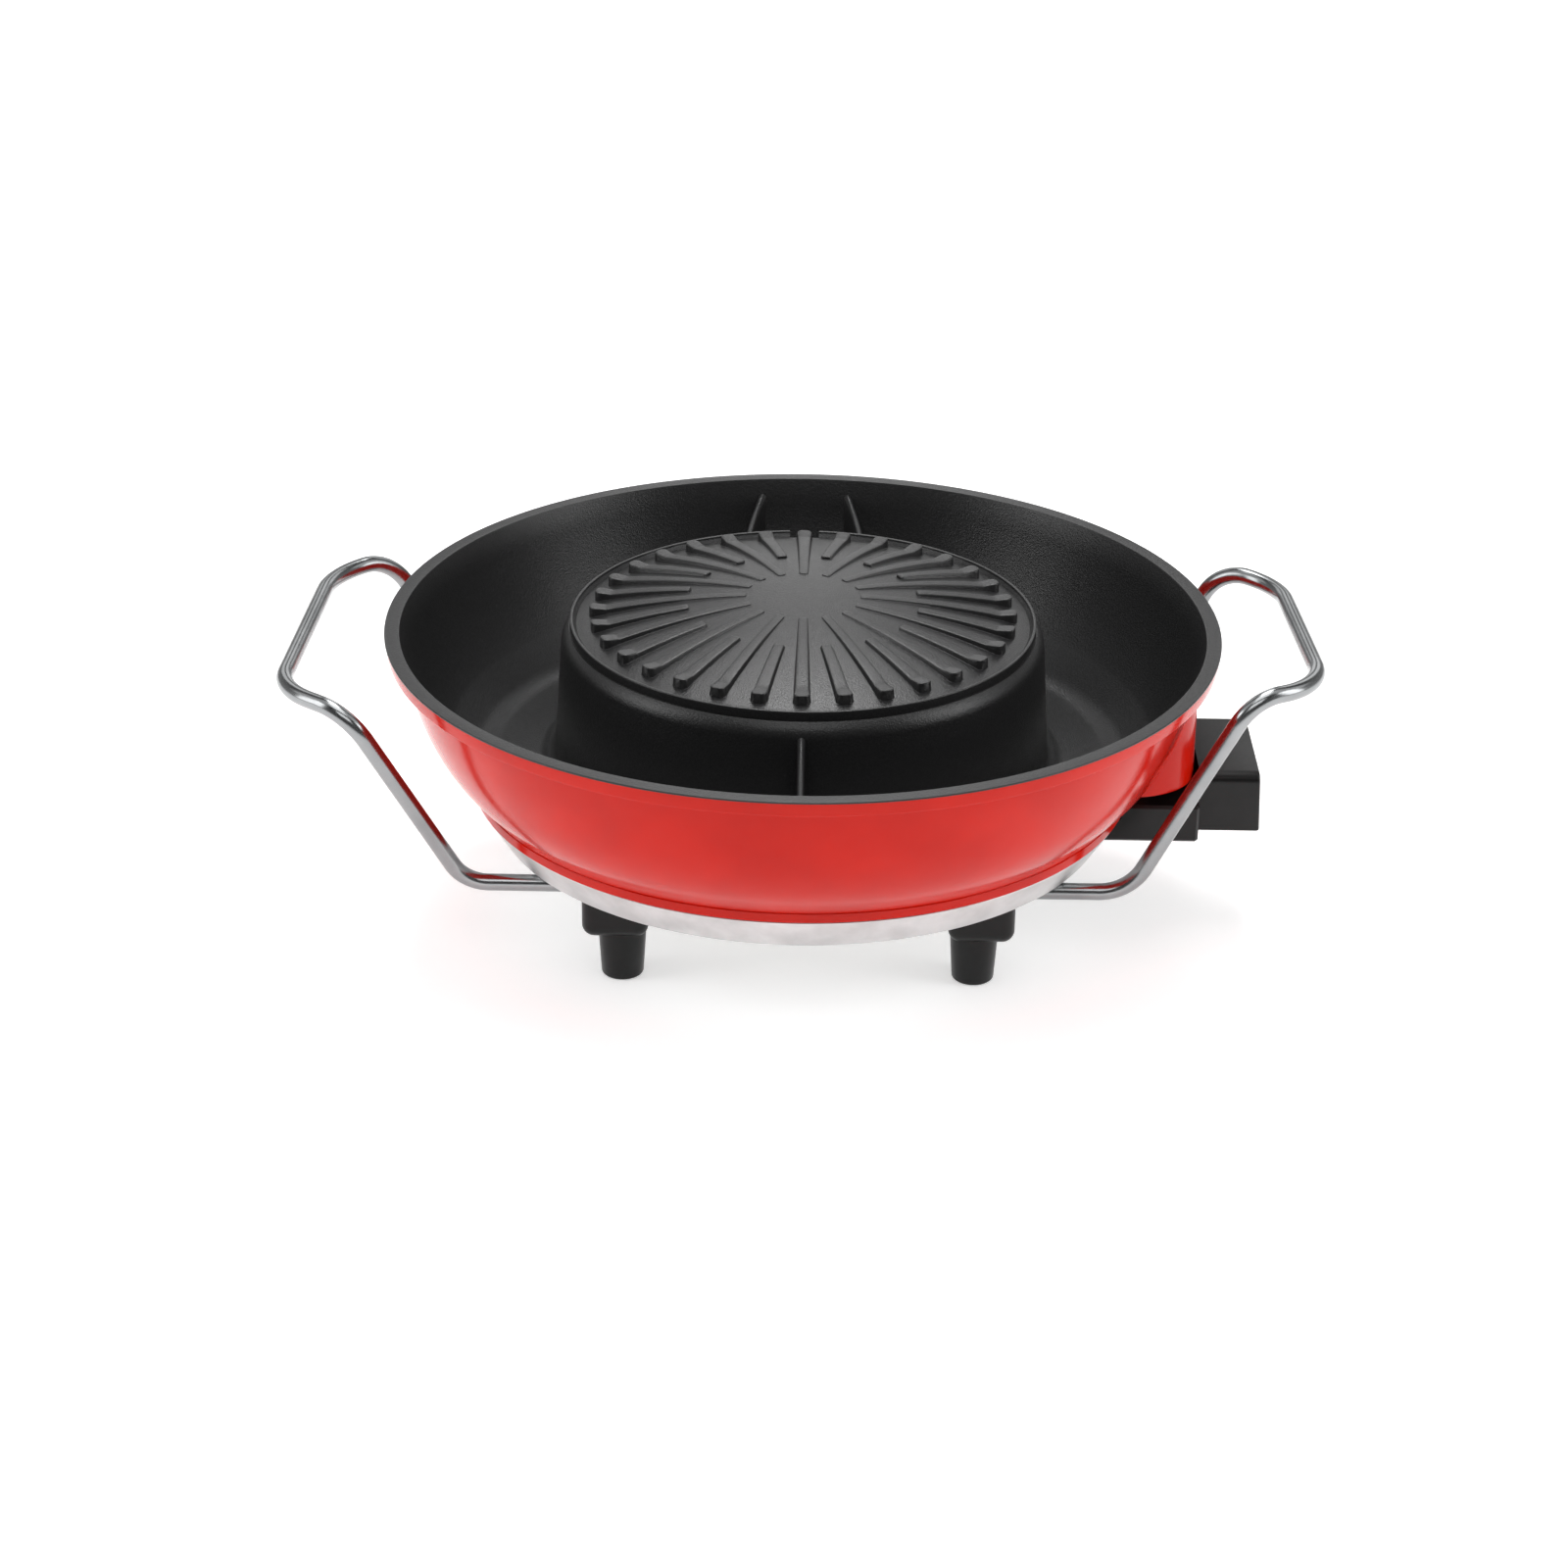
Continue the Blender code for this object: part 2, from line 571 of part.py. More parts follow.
def rib(angle, inner_radius):
    """One grill rib, from the smooth centre out to its knob, sunk into the plate below."""
    knob_start = RIB_OUTER_RADIUS - RIB_KNOB_LENGTH
    knob = RIB_KNOB_WIDTH / 2
    knob_centre = RIB_OUTER_RADIUS - knob
    stations = [(inner_radius, RIB_INNER_WIDTH / 2, RIB_INNER_HEIGHT),
                ((inner_radius + knob_start) / 2, (RIB_INNER_WIDTH + RIB_OUTER_WIDTH) / 4,
                 (RIB_INNER_HEIGHT + RIB_OUTER_HEIGHT) / 2),
                (knob_start, RIB_OUTER_WIDTH / 2, RIB_OUTER_HEIGHT),
                (knob_centre, knob, (RIB_OUTER_HEIGHT + RIB_KNOB_HEIGHT) / 2)]
    for reach_share, width_share in KNOB_END_SHARES:
        stations.append((knob_centre + reach_share * knob, width_share * knob, RIB_KNOB_HEIGHT))
    bm = bmesh.new()
    rings = []
    for radius, half, height in stations:
        top = plate_height(radius) + height
        bottom = plate_height(radius) - PLATE_THICKNESS / 2
        rings.append([bm.verts.new(place) for place in ((radius, -half, bottom), (radius, half, bottom),
                                                        (radius, half, top), (radius, -half, top))])
    for near, far in zip(rings, rings[1:]):
        for index in range(4):
            after = (index + 1) % 4
            bm.faces.new((near[index], near[after], far[after], far[index]))
    bm.faces.new(rings[0])
    bm.faces.new(rings[-1])
    bmesh.ops.recalc_face_normals(bm, faces=bm.faces)
    return turned_about_z(bm, angle)


def grill_ribs():
    """Long and short ribs in turn, with long ones at the very front and back."""
    short_start = PLAIN_CENTRE_RADIUS + SHORT_RIB_START_SHARE * (RIB_OUTER_RADIUS - PLAIN_CENTRE_RADIUS)
    ribs = []
    for index in range(RIB_COUNT):
        inner = PLAIN_CENTRE_RADIUS if index % 2 == 0 else short_start
        ribs.append(rib(-math.pi / 2 + math.tau * index / RIB_COUNT, inner))
    return merged(ribs)


def fin(start, end):
    """A divider in the trough from a point in the drum's wall to a point in the bowl's wall."""
    start, end = Vector(start), Vector(end)
    across = (end - start).normalized()
    side = Vector((-across.y, across.x, 0)) * FIN_THICKNESS / 2
    top = RIM_HEIGHT - FIN_TOP_DROP
    bm = bmesh.new()
    rings = []
    for share in FIN_STATION_SHARES:
        place = start.lerp(end, share)
        crest = top - FIN_SAG * 4 * share * (1 - share)
        foot = TROUGH_FLOOR - TROUGH_FLOOR_THICKNESS / 2
        rings.append([bm.verts.new(point) for point in (place + side + Vector((0, 0, foot)),
                                                        place - side + Vector((0, 0, foot)),
                                                        place - side + Vector((0, 0, crest)),
                                                        place + side + Vector((0, 0, crest)))])
    for near, far in zip(rings, rings[1:]):
        for index in range(4):
            after = (index + 1) % 4
            bm.faces.new((near[index], near[after], far[after], far[index]))
    bm.faces.new(rings[0])
    bm.faces.new(rings[-1])
    bmesh.ops.recalc_face_normals(bm, faces=bm.faces)
    return bm


def trough_section():
    """The trough's free space grown by half a wall, so that fins end inside the casting."""
    half = WALL_THICKNESS / 2
    curve = bezier((WALL_TOP_RADIUS - half, BAND_FOOT), (WALL_BULGE_RADIUS - half, WALL_BULGE_HEIGHT + half),
                   (TROUGH_OUTER_RADIUS + half, TROUGH_FLOOR - half), WALL_STEPS)
    top = RIM_HEIGHT - RIM_LAND
    drum = [(DRUM_FOOT_RADIUS - half, TROUGH_FLOOR - half), (DRUM_TOP_RADIUS - half, top)]
    return [(curve[0][0], top)] + curve + drum


def soup_fins():
    """Front divider, and two back ones that wall off the sump below the grill's notch."""
    drum = DRUM_TOP_RADIUS - DRUM_WALL
    front = fin((0, -drum, 0), (0, -RIM_INNER_RADIUS, 0))
    inner_x = BACK_FIN_OFFSET + BACK_FIN_FLARE
    left = fin((-inner_x, drum, 0), (-BACK_FIN_OFFSET, RIM_INNER_RADIUS, 0))
    right = fin((inner_x, drum, 0), (BACK_FIN_OFFSET, RIM_INNER_RADIUS, 0))
    return merged([front, left, right])


def shroud_outline(inset):
    """Plan of the shroud: an arc about the pan's axis between two rounded corners."""
    radius = SHROUD_RADIUS - inset
    half = SHROUD_HALF_WIDTH - inset
    corner = SHROUD_CORNER - inset
    centre_y = half - corner
    centre_x = math.sqrt((radius - corner) ** 2 - centre_y ** 2)
    lean = math.atan2(centre_y, centre_x)
    outline = []
    for step in range(SHROUD_CORNER_STEPS + 1):
        angle = math.pi / 2 + (lean - math.pi / 2) * step / SHROUD_CORNER_STEPS
        outline.append((centre_x + corner * math.cos(angle), centre_y + corner * math.sin(angle)))
    outline += [(radius * math.cos(lean / 2), radius * math.sin(lean / 2)), (radius, 0)]
    mirrored = [(x, -y) for x, y in reversed(outline[:-1])]
    root_x = TROUGH_OUTER_RADIUS - SHROUD_CORNER
    return [(root_x, half)] + outline + mirrored + [(root_x, -half)]


def bosses():
    """Pillars under the casting for the foot screws, the clamp screws and the probe's pad."""
    parts = []
    sink = TROUGH_FLOOR_THICKNESS / 2
    for x in (-FOOT_X, FOOT_X):
        for y in (-FOOT_Y, FOOT_Y):
            post = rod(BOSS_RADIUS, SKIRT_FLANGE_TOP + GAP, FLOOR_UNDERSIDE + sink, SMALL_FACETS)
            parts.append(moved(post, (x, y, 0)))
    for angle, radius, level in clamp_places():
        x, y = polar(radius - CLAMP_SCREW_OFFSET, angle)
        root = underside_height(radius - CLAMP_SCREW_OFFSET) + sink
        parts.append(moved(rod(CLAMP_BOSS_RADIUS, level + CLAMP_THICKNESS / 2 + GAP, root, SCREW_FACETS),
                           (x, y, 0)))
    pad_bottom = TERMINAL_HEIGHT + GUIDE_RADIUS + GAP
    parts.append(box((DRUM_FOOT_RADIUS - DRUM_WALL + GAP, -GUIDE_RADIUS, pad_bottom),
                     (DRUM_FOOT_RADIUS - DRUM_WALL + GUIDE_PAD_LENGTH, GUIDE_RADIUS, FLOOR_UNDERSIDE + sink)))
    return merged(parts)


def underside_height(radius):
    """Underside of the casting at a radius: the trough floor, or the grill plate."""
    if radius > DRUM_FOOT_RADIUS - DRUM_WALL:
        return FLOOR_UNDERSIDE
    return plate_height(radius) - PLATE_THICKNESS


def grill_loop_height():
    return underside_height(GRILL_LOOP_RADIUS + HEATER_RADIUS) - LOOP_CLEARANCE - HEATER_RADIUS


def polar(radius, angle):
    return radius * math.cos(angle), radius * math.sin(angle)


def clamp_places():
    """Angle, loop radius and strap height of each heater clamp."""
    drop = HEATER_RADIUS + GAP + CLAMP_THICKNESS / 2
    places = [(math.radians(angle), TROUGH_LOOP_RADIUS, TROUGH_LOOP_HEIGHT - drop)
              for angle in TROUGH_CLAMP_DEGREES]
    places += [(math.radians(angle), GRILL_LOOP_RADIUS, grill_loop_height() - drop)
               for angle in GRILL_CLAMP_DEGREES]
    return places


def screw_holes():
    """Blind holes in the bosses, a little wider than the screws."""
    parts = []
    for x in (-FOOT_X, FOOT_X):
        for y in (-FOOT_Y, FOOT_Y):
            hole = rod(FOOT_SCREW_RADIUS + GAP, SKIRT_FLANGE_TOP - OVERRUN,
                       SKIRT_FLANGE_TOP + FOOT_SCREW_GRIP + GAP, SCREW_FACETS)
            parts.append(moved(hole, (x, y, 0)))
    for angle, radius, level in clamp_places():
        x, y = polar(radius - CLAMP_SCREW_OFFSET, angle)
        hole = rod(CLAMP_SCREW_RADIUS + GAP, level - OVERRUN,
                   level + CLAMP_THICKNESS / 2 + CLAMP_SCREW_GRIP + GAP, SCREW_FACETS)
        parts.append(moved(hole, (x, y, 0)))
    return merged(parts)


def pan_body():
    pan = add_object("pan_body", mesh_from(turn_profile(pan_profile(), PAN_FACETS), "pan_body"), RED_PAINT)
    shroud = add_object("shroud_guide", mesh_from(prism(shroud_outline(0.0), SHROUD_BOTTOM, BAND_FOOT + GAP),
                                                  "shroud"))
    combine(shroud, prism(shroud_outline(SHROUD_WALL), SHROUD_BOTTOM - OVERRUN, BAND_FOOT - SHROUD_WALL),
            "DIFFERENCE")
    half = -WALL_THICKNESS / 2
    wall = outer_wall(half)
    core = [(0, wall[-1][1] - OVERRUN), (wall[-1][0], wall[-1][1] - OVERRUN)] + list(reversed(wall))
    core += [(wall[0][0], RIM_HEIGHT), (0, RIM_HEIGHT)]
    combine(shroud, turn_profile(core, PAN_FACETS), "DIFFERENCE")
    fins = add_object("fins_guide", mesh_from(soup_fins(), "fins"))
    combine(fins, turn_profile(trough_section(), PAN_FACETS, closed=True), "INTERSECT")
    attach(pan, shroud, "UNION")
    attach(pan, fins, "UNION")
    combine(pan, grill_ribs(), "UNION")
    combine(pan, bosses(), "UNION")
    combine(pan, screw_holes(), "DIFFERENCE")
    notch_half = NOTCH_WIDTH / 2
    notch = box((-notch_half, LIP_RADIUS - 2 * LIP_THICKNESS, GUTTER_FLOOR + GAP),
                (notch_half, LIP_RADIUS + OVERRUN, LIP_TOP + OVERRUN))
    combine(pan, notch, "DIFFERENCE")
    return pan


def base_skirt():
    top = FLANGE_BOTTOM - GAP
    inner_top = SKIRT_TOP_RADIUS - SKIRT_WALL
    inner_bottom = SKIRT_BOTTOM_RADIUS - SKIRT_WALL
    profile = [(SKIRT_TOP_RADIUS, top),
               (SKIRT_BOTTOM_RADIUS + SKIRT_CHAMFER / 2, SKIRT_BOTTOM + SKIRT_CHAMFER),
               (SKIRT_BOTTOM_RADIUS - SKIRT_CHAMFER / 2, SKIRT_BOTTOM),
               (SKIRT_OPENING_RADIUS, SKIRT_BOTTOM), (SKIRT_OPENING_RADIUS, SKIRT_FLANGE_TOP),
               (inner_bottom, SKIRT_FLANGE_TOP), (inner_top, top)]
    mesh = mesh_from(turn_profile(profile, PAN_FACETS, closed=True), "base_skirt")
    skirt = add_object("base_skirt", mesh, BARE_ALUMINIUM)
    slot = box((SKIRT_TOP_RADIUS - SKIRT_SLOT_DEPTH, -SKIRT_SLOT_HALF_WIDTH,
                TERMINAL_HEIGHT - POCKET_HALF_HEIGHT),
               (SKIRT_TOP_RADIUS + OVERRUN, SKIRT_SLOT_HALF_WIDTH, top + OVERRUN))
    combine(skirt, slot, "DIFFERENCE")
    holes = []
    for x in (-FOOT_X, FOOT_X):
        for y in (-FOOT_Y, FOOT_Y):
            hole = rod(FOOT_SCREW_RADIUS + GAP, SKIRT_BOTTOM - OVERRUN, SKIRT_FLANGE_TOP + OVERRUN,
                       SCREW_FACETS)
            holes.append(moved(hole, (x, y, 0)))
    for angle in cover_screw_angles():
        hole = rod(CLAMP_SCREW_RADIUS + GAP, SKIRT_BOTTOM - OVERRUN, SKIRT_FLANGE_TOP + OVERRUN,
                   SCREW_FACETS)
        holes.append(moved(hole, (*polar(COVER_SCREW_RADIUS, angle), 0)))
    combine(skirt, merged(holes), "DIFFERENCE")
    sides = []
    for y in (-HOUSING_SCREW_Y, HOUSING_SCREW_Y):
        hole = along_x(rod(HOUSING_SCREW_RADIUS + GAP, SKIRT_BOTTOM_RADIUS - SKIRT_SCREW_REACH,
                           SKIRT_TOP_RADIUS, SCREW_FACETS))
        sides.append(moved(hole, (0, y, housing_screw_height())))
    combine(skirt, merged(sides), "DIFFERENCE")
    return skirt


def cover_screw_angles():
    start = math.radians(COVER_SCREW_START_DEGREES)
    return [start + math.tau * index / COVER_SCREW_COUNT for index in range(COVER_SCREW_COUNT)]


def bottom_cover():
    bottom = COVER_TOP - COVER_THICKNESS
    cover = add_object("bottom_cover", mesh_from(rod(COVER_RADIUS, bottom, COVER_TOP, PAN_FACETS),
                                                 "bottom_cover"), PLATED_STEEL)
    holes = []
    for angle in cover_screw_angles():
        hole = rod(CLAMP_SCREW_RADIUS + GAP, bottom - OVERRUN, COVER_TOP + OVERRUN, SCREW_FACETS)
        holes.append(moved(hole, (*polar(COVER_SCREW_RADIUS, angle), 0)))
    combine(cover, merged(holes), "DIFFERENCE")
    for index, angle in enumerate(cover_screw_angles()):
        screw = headed_screw(CLAMP_SCREW_RADIUS, CLAMP_SCREW_HEAD_RADIUS, CLAMP_SCREW_HEAD,
                             COVER_THICKNESS + GAP + SKIRT_FLANGE_THICKNESS)
        moved(screw, (*polar(COVER_SCREW_RADIUS, angle), bottom - GAP))
        add_object(f"cover_screw_{index + 1}", mesh_from(screw, "cover_screw"), PLATED_STEEL)


def headed_screw(shank, head, head_height, length):
    """A pan-head screw pointing up; z = 0 is the seat under its head."""
    return turn_profile([(0, -head_height), (head - head_height / 3, -head_height), (head, 0),
                         (shank, 0), (shank, length), (0, length)], SCREW_FACETS)


def foot(name, side_x, side_y):
    """A moulded foot: a rounded saddle that holds the wire's end, and a tapered peg below."""
    heel = FOOT_X - FOOT_HEEL
    half = FOOT_WIDTH / 2
    bm = box((heel, FOOT_Y - half, FOOT_SADDLE_BOTTOM), (heel + FOOT_LENGTH, FOOT_Y + half, FOOT_TOP))
    rounded = [edge for edge in bm.edges if min(v.co.z for v in edge.verts) < FOOT_TOP - GAP]
    bmesh.ops.bevel(bm, geom=rounded, offset=FOOT_SADDLE_ROUND, segments=2, profile=0.5, affect="EDGES")
    if side_x < 0:
        bmesh.ops.scale(bm, vec=(-1, 1, 1), verts=bm.verts)
    if side_y < 0:
        bmesh.ops.scale(bm, vec=(1, -1, 1), verts=bm.verts)
    obj = add_object(name, mesh_from(bm, name), BLACK_PLASTIC)
    peg = turn_profile([(0, 0), (PEG_BOTTOM_RADIUS - PEG_ROUND, 0), (PEG_BOTTOM_RADIUS, PEG_ROUND),
                        (PEG_TOP_RADIUS, FOOT_SADDLE_BOTTOM + FOOT_SADDLE_ROUND),
                        (0, FOOT_SADDLE_BOTTOM + FOOT_SADDLE_ROUND)], ROUND_FACETS)
    x, y = side_x * FOOT_X, side_y * FOOT_Y
    combine(obj, moved(peg, (x, y, 0)), "UNION")
    bore = moved(rod(FOOT_BORE_RADIUS, -OVERRUN, FOOT_BORE_DEPTH, SMALL_FACETS), (x, y, 0))
    hole = moved(rod(FOOT_SCREW_RADIUS + GAP, FOOT_BORE_DEPTH / 2, FOOT_TOP + OVERRUN, SMALL_FACETS),
                 (x, y, 0))
    combine(obj, bore, "DIFFERENCE")
    combine(obj, hole, "DIFFERENCE")
    groove = along_x(prism(groove_outline(), WIRE_START_X - GAP, heel + FOOT_LENGTH + OVERRUN))
    if side_x < 0:
        turned_about_z(groove, math.pi)
    combine(obj, moved(groove, (0, y, WIRE_HEIGHT)), "DIFFERENCE")


def groove_outline():
    """A round-bottomed groove for the wire, open at the foot's top; its depth runs along +X."""
    radius = WIRE_RADIUS + GAP
    outline = []
    for step in range(GROOVE_STEPS + 1):
        angle = math.pi * step / GROOVE_STEPS
        outline.append((radius * math.sin(angle), radius * math.cos(angle)))
    top = WIRE_HEIGHT - FOOT_TOP - OVERRUN
    return outline + [(top, -radius), (top, radius)]


def feet():
    sides = {"front_left": (-1, -1), "front_right": (1, -1), "back_left": (-1, 1), "back_right": (1, 1)}
    for place, (side_x, side_y) in sides.items():
        foot(f"foot_{place}", side_x, side_y)
        length = SKIRT_FLANGE_TOP + FOOT_SCREW_GRIP - FOOT_BORE_DEPTH
        screw = headed_screw(FOOT_SCREW_RADIUS, FOOT_SCREW_HEAD_RADIUS, FOOT_SCREW_HEAD, length)
        moved(screw, (side_x * FOOT_X, side_y * FOOT_Y, FOOT_BORE_DEPTH - GAP))
        add_object(f"foot_screw_{place}", mesh_from(screw, "foot_screw"), PLATED_STEEL)


def handle(side):
    sign = -1 if side == "left" else 1
    span = FOOT_Y + HANDLE_TOP_WIDENINGS[side]
    high = RIM_HEIGHT - HANDLE_TOP_DROPS[side]
    grip = RIM_HEIGHT - HANDLE_GRIP_DROPS[side]
    low_x = SKIRT_BOTTOM_RADIUS + HANDLE_LOW_REACHES[side]
    half_grip = FOOT_Y - HANDLE_GRIP_NARROWINGS[side]
    leg = [(WIRE_START_X, -FOOT_Y, WIRE_HEIGHT), (low_x, -FOOT_Y, WIRE_HEIGHT), (HANDLE_HIGH_X, -span, high)]
    corners = leg + [(HANDLE_GRIP_X + HANDLE_GRIP_SKEW, -half_grip, grip),
                     (HANDLE_GRIP_X - HANDLE_GRIP_SKEW, half_grip, grip)]
    corners += [(x, -y, z) for x, y, z in reversed(leg)]
    corners = [(sign * x, y, z) for x, y, z in corners]
    bends = [0.0, HANDLE_LOW_BENDS[side], HANDLE_HIGH_BEND, HANDLE_GRIP_BEND]
    path = bend_corners(corners, bends + bends[::-1], HANDLE_BEND_STEPS, HANDLE_CORNER_SHARE)
    name = f"handle_{side}"
    add_object(name, wire(name, path, WIRE_RADIUS, HANDLE_BEVEL_STEPS), CHROME)


def heater_path():
    """From one terminal round the trough loop, up to the grill loop and back to the other."""
    low, high = TROUGH_LOOP_HEIGHT, grill_loop_height()
    pitch = TERMINAL_HALF_PITCH
    out_angle = math.asin((pitch + RISER_SPACING) / GRILL_LOOP_RADIUS)
    back_angle = math.asin(pitch / GRILL_LOOP_RADIUS)
    lead_x = math.sqrt(TROUGH_LOOP_RADIUS ** 2 - pitch ** 2)
    start_angle = math.atan2(-pitch, lead_x)
    step = math.radians(HEATER_STEP_DEGREES)
    slope_x = HEATER_END_X - HEATER_RADIUS
    corners = [(HEATER_END_X, -pitch, TERMINAL_HEIGHT), (slope_x, -pitch, TERMINAL_HEIGHT),
               (lead_x, -pitch, low)]
    steps = int((math.tau + start_angle - out_angle) / step)
    for index in range(1, steps):
        angle = start_angle - (math.tau + start_angle - out_angle) * index / steps
        corners.append((*polar(TROUGH_LOOP_RADIUS, angle), low))
    corners.append((*polar(TROUGH_LOOP_RADIUS, out_angle), low))
    corners += [(*polar(GRILL_LOOP_RADIUS, out_angle), low), (*polar(GRILL_LOOP_RADIUS, out_angle), high)]
    sweep = math.tau - out_angle + back_angle
    steps = int(sweep / math.radians(GRILL_LOOP_STEP_DEGREES))
    for index in range(1, steps):
        corners.append((*polar(GRILL_LOOP_RADIUS, out_angle + sweep * index / steps), high))
    corners += [(*polar(GRILL_LOOP_RADIUS, back_angle), high),
                (*polar(GRILL_LOOP_RADIUS, back_angle), TERMINAL_HEIGHT),
                (HEATER_END_X, pitch, TERMINAL_HEIGHT)]
    return corners


def heating_element():
    corners = heater_path()
    path = bend_corners(corners, [HEATER_BEND] * len(corners), HEATER_BEND_STEPS)
    add_object("heating_element", wire("heating_element", path, HEATER_RADIUS, HEATER_BEVEL_STEPS),
               HEATER_STEEL)


def heater_clamps():
    half_width, half = CLAMP_WIDTH / 2, CLAMP_THICKNESS / 2
    for index, (angle, radius, level) in enumerate(clamp_places()):
        start = radius - CLAMP_SCREW_OFFSET - half_width
        strap = box((start, -half_width, level - half), (start + CLAMP_LENGTH, half_width, level + half))
        obj = add_object(f"heater_clamp_{index + 1}", mesh_from(turned_about_z(strap, angle), "heater_clamp"),
                         PLATED_STEEL)
        x, y = polar(radius - CLAMP_SCREW_OFFSET, angle)
        hole = rod(CLAMP_SCREW_RADIUS + GAP, level - half - OVERRUN, level + half + OVERRUN, SCREW_FACETS)
        combine(obj, moved(hole, (x, y, 0)), "DIFFERENCE")
        screw = headed_screw(CLAMP_SCREW_RADIUS, CLAMP_SCREW_HEAD_RADIUS, CLAMP_SCREW_HEAD,
                             CLAMP_THICKNESS + CLAMP_SCREW_GRIP)
        moved(screw, (x, y, level - half - GAP))
        add_object(f"clamp_screw_{index + 1}", mesh_from(screw, "clamp_screw"), PLATED_STEEL)


def terminals():
    for side, y in (("front", -TERMINAL_HALF_PITCH), ("back", TERMINAL_HALF_PITCH)):
        place = (0, y, TERMINAL_HEIGHT)
        pin = along_x(rod(PIN_RADIUS, HEATER_END_X + GAP, PIN_END_X, SMALL_FACETS, PIN_ROUND))
        add_object(f"terminal_pin_{side}", mesh_from(moved(pin, place), "terminal_pin"), PLATED_STEEL)
        sleeve = along_x(tube(INSULATOR_RADIUS, PIN_RADIUS + GAP, HEATER_END_X + 2 * GAP, SLEEVE_END_X,
                              SMALL_FACETS))
        add_object(f"pin_insulator_{side}", mesh_from(moved(sleeve, place), "pin_insulator"), CERAMIC)
    guide = along_x(tube(GUIDE_RADIUS, GUIDE_BORE_RADIUS, GUIDE_INNER_X, SLEEVE_END_X, SMALL_FACETS))
    add_object("probe_guide", mesh_from(moved(guide, (0, 0, TERMINAL_HEIGHT)), "probe_guide"), PLATED_STEEL)


def housing_screw_height():
    return (HOUSING_BOTTOM + TERMINAL_HEIGHT) / 2


def terminal_housing():
    """The fixed black housing: it fits the skirt and the bowl on one side, the control on the other."""
    low_x = SKIRT_BOTTOM_RADIUS - SKIRT_SCREW_REACH
    bm = box((low_x, -HOUSING_HALF_WIDTH, HOUSING_BOTTOM), (HOUSING_END_X, HOUSING_HALF_WIDTH, HOUSING_TOP))
    outer_edges = [edge for edge in bm.edges if max(v.co.x for v in edge.verts) > HOUSING_END_X - GAP]
    bmesh.ops.bevel(bm, geom=outer_edges, offset=HOUSING_EDGE_ROUND, segments=1, affect="EDGES")
    housing = add_object("terminal_housing", mesh_from(bm, "terminal_housing"), BLACK_PLASTIC)
    combine(housing, pan_side_cutter(), "DIFFERENCE")
    pocket = box((POCKET_BACK_X, -POCKET_HALF_WIDTH, TERMINAL_HEIGHT - POCKET_HALF_HEIGHT),
                 (HOUSING_END_X + OVERRUN, POCKET_HALF_WIDTH, TERMINAL_HEIGHT + POCKET_HALF_HEIGHT))
    combine(housing, pocket, "DIFFERENCE")
    holes = []
    for y in (-TERMINAL_HALF_PITCH, TERMINAL_HALF_PITCH):
        hole = along_x(rod(INSULATOR_RADIUS + GAP, low_x, POCKET_BACK_X + OVERRUN, SMALL_FACETS))
        holes.append(moved(hole, (0, y, TERMINAL_HEIGHT)))
    hole = along_x(rod(GUIDE_RADIUS + GAP, low_x, POCKET_BACK_X + OVERRUN, SMALL_FACETS))
    holes.append(moved(hole, (0, 0, TERMINAL_HEIGHT)))
    screw_x = housing_screw_seat()
    for y in (-HOUSING_SCREW_Y, HOUSING_SCREW_Y):
        hole = along_x(rod(HOUSING_SCREW_RADIUS + GAP, low_x, screw_x + 2 * HOUSING_SCREW_GRIP, SCREW_FACETS))
        holes.append(moved(hole, (0, y, housing_screw_height())))
    combine(housing, merged(holes), "DIFFERENCE")


def pan_side_cutter():
    """Skirt, flange and bowl as one turned solid, grown by the housing's clearance."""
    grow = HOUSING_CLEARANCE
    skirt_low = HOUSING_BOTTOM - OVERRUN
    slope = (SKIRT_TOP_RADIUS - SKIRT_BOTTOM_RADIUS) / (FLANGE_BOTTOM - SKIRT_BOTTOM)
    low_radius = SKIRT_BOTTOM_RADIUS + slope * (skirt_low - SKIRT_BOTTOM) + grow
    wall = [point for point in outer_wall(grow) if point[1] > FLANGE_TOP + grow]
    profile = [(0, skirt_low), (low_radius, skirt_low), (SKIRT_TOP_RADIUS + grow, FLANGE_BOTTOM - grow),
               (FLANGE_RADIUS + grow, FLANGE_BOTTOM - grow), (FLANGE_RADIUS + grow, FLANGE_TOP + grow)]
    return turn_profile(profile + list(reversed(wall)) + [(0, wall[0][1])], PAN_FACETS)


def housing_screw_seat():
    """Where the flat of a housing screw's head lies inside the sloping skirt."""
    share = (housing_screw_height() - SKIRT_BOTTOM) / (FLANGE_BOTTOM - SKIRT_BOTTOM)
    radius = SKIRT_BOTTOM_RADIUS + share * (SKIRT_TOP_RADIUS - SKIRT_BOTTOM_RADIUS) - SKIRT_WALL
    reach = HOUSING_SCREW_Y + HOUSING_SCREW_HEAD_RADIUS
    return math.sqrt(radius ** 2 - reach ** 2) - 2 * GAP - HOUSING_SCREW_HEAD_RADIUS / 2


def housing_screws():
    seat = housing_screw_seat()
    for side, y in (("front", -HOUSING_SCREW_Y), ("back", HOUSING_SCREW_Y)):
        screw = along_x(headed_screw(HOUSING_SCREW_RADIUS, HOUSING_SCREW_HEAD_RADIUS, HOUSING_SCREW_HEAD,
                                     HOUSING_SCREW_GRIP + SKIRT_WALL))
        add_object(f"housing_screw_{side}", mesh_from(moved(screw, (seat, y, housing_screw_height())),
                                                      "housing_screw"), PLATED_STEEL)


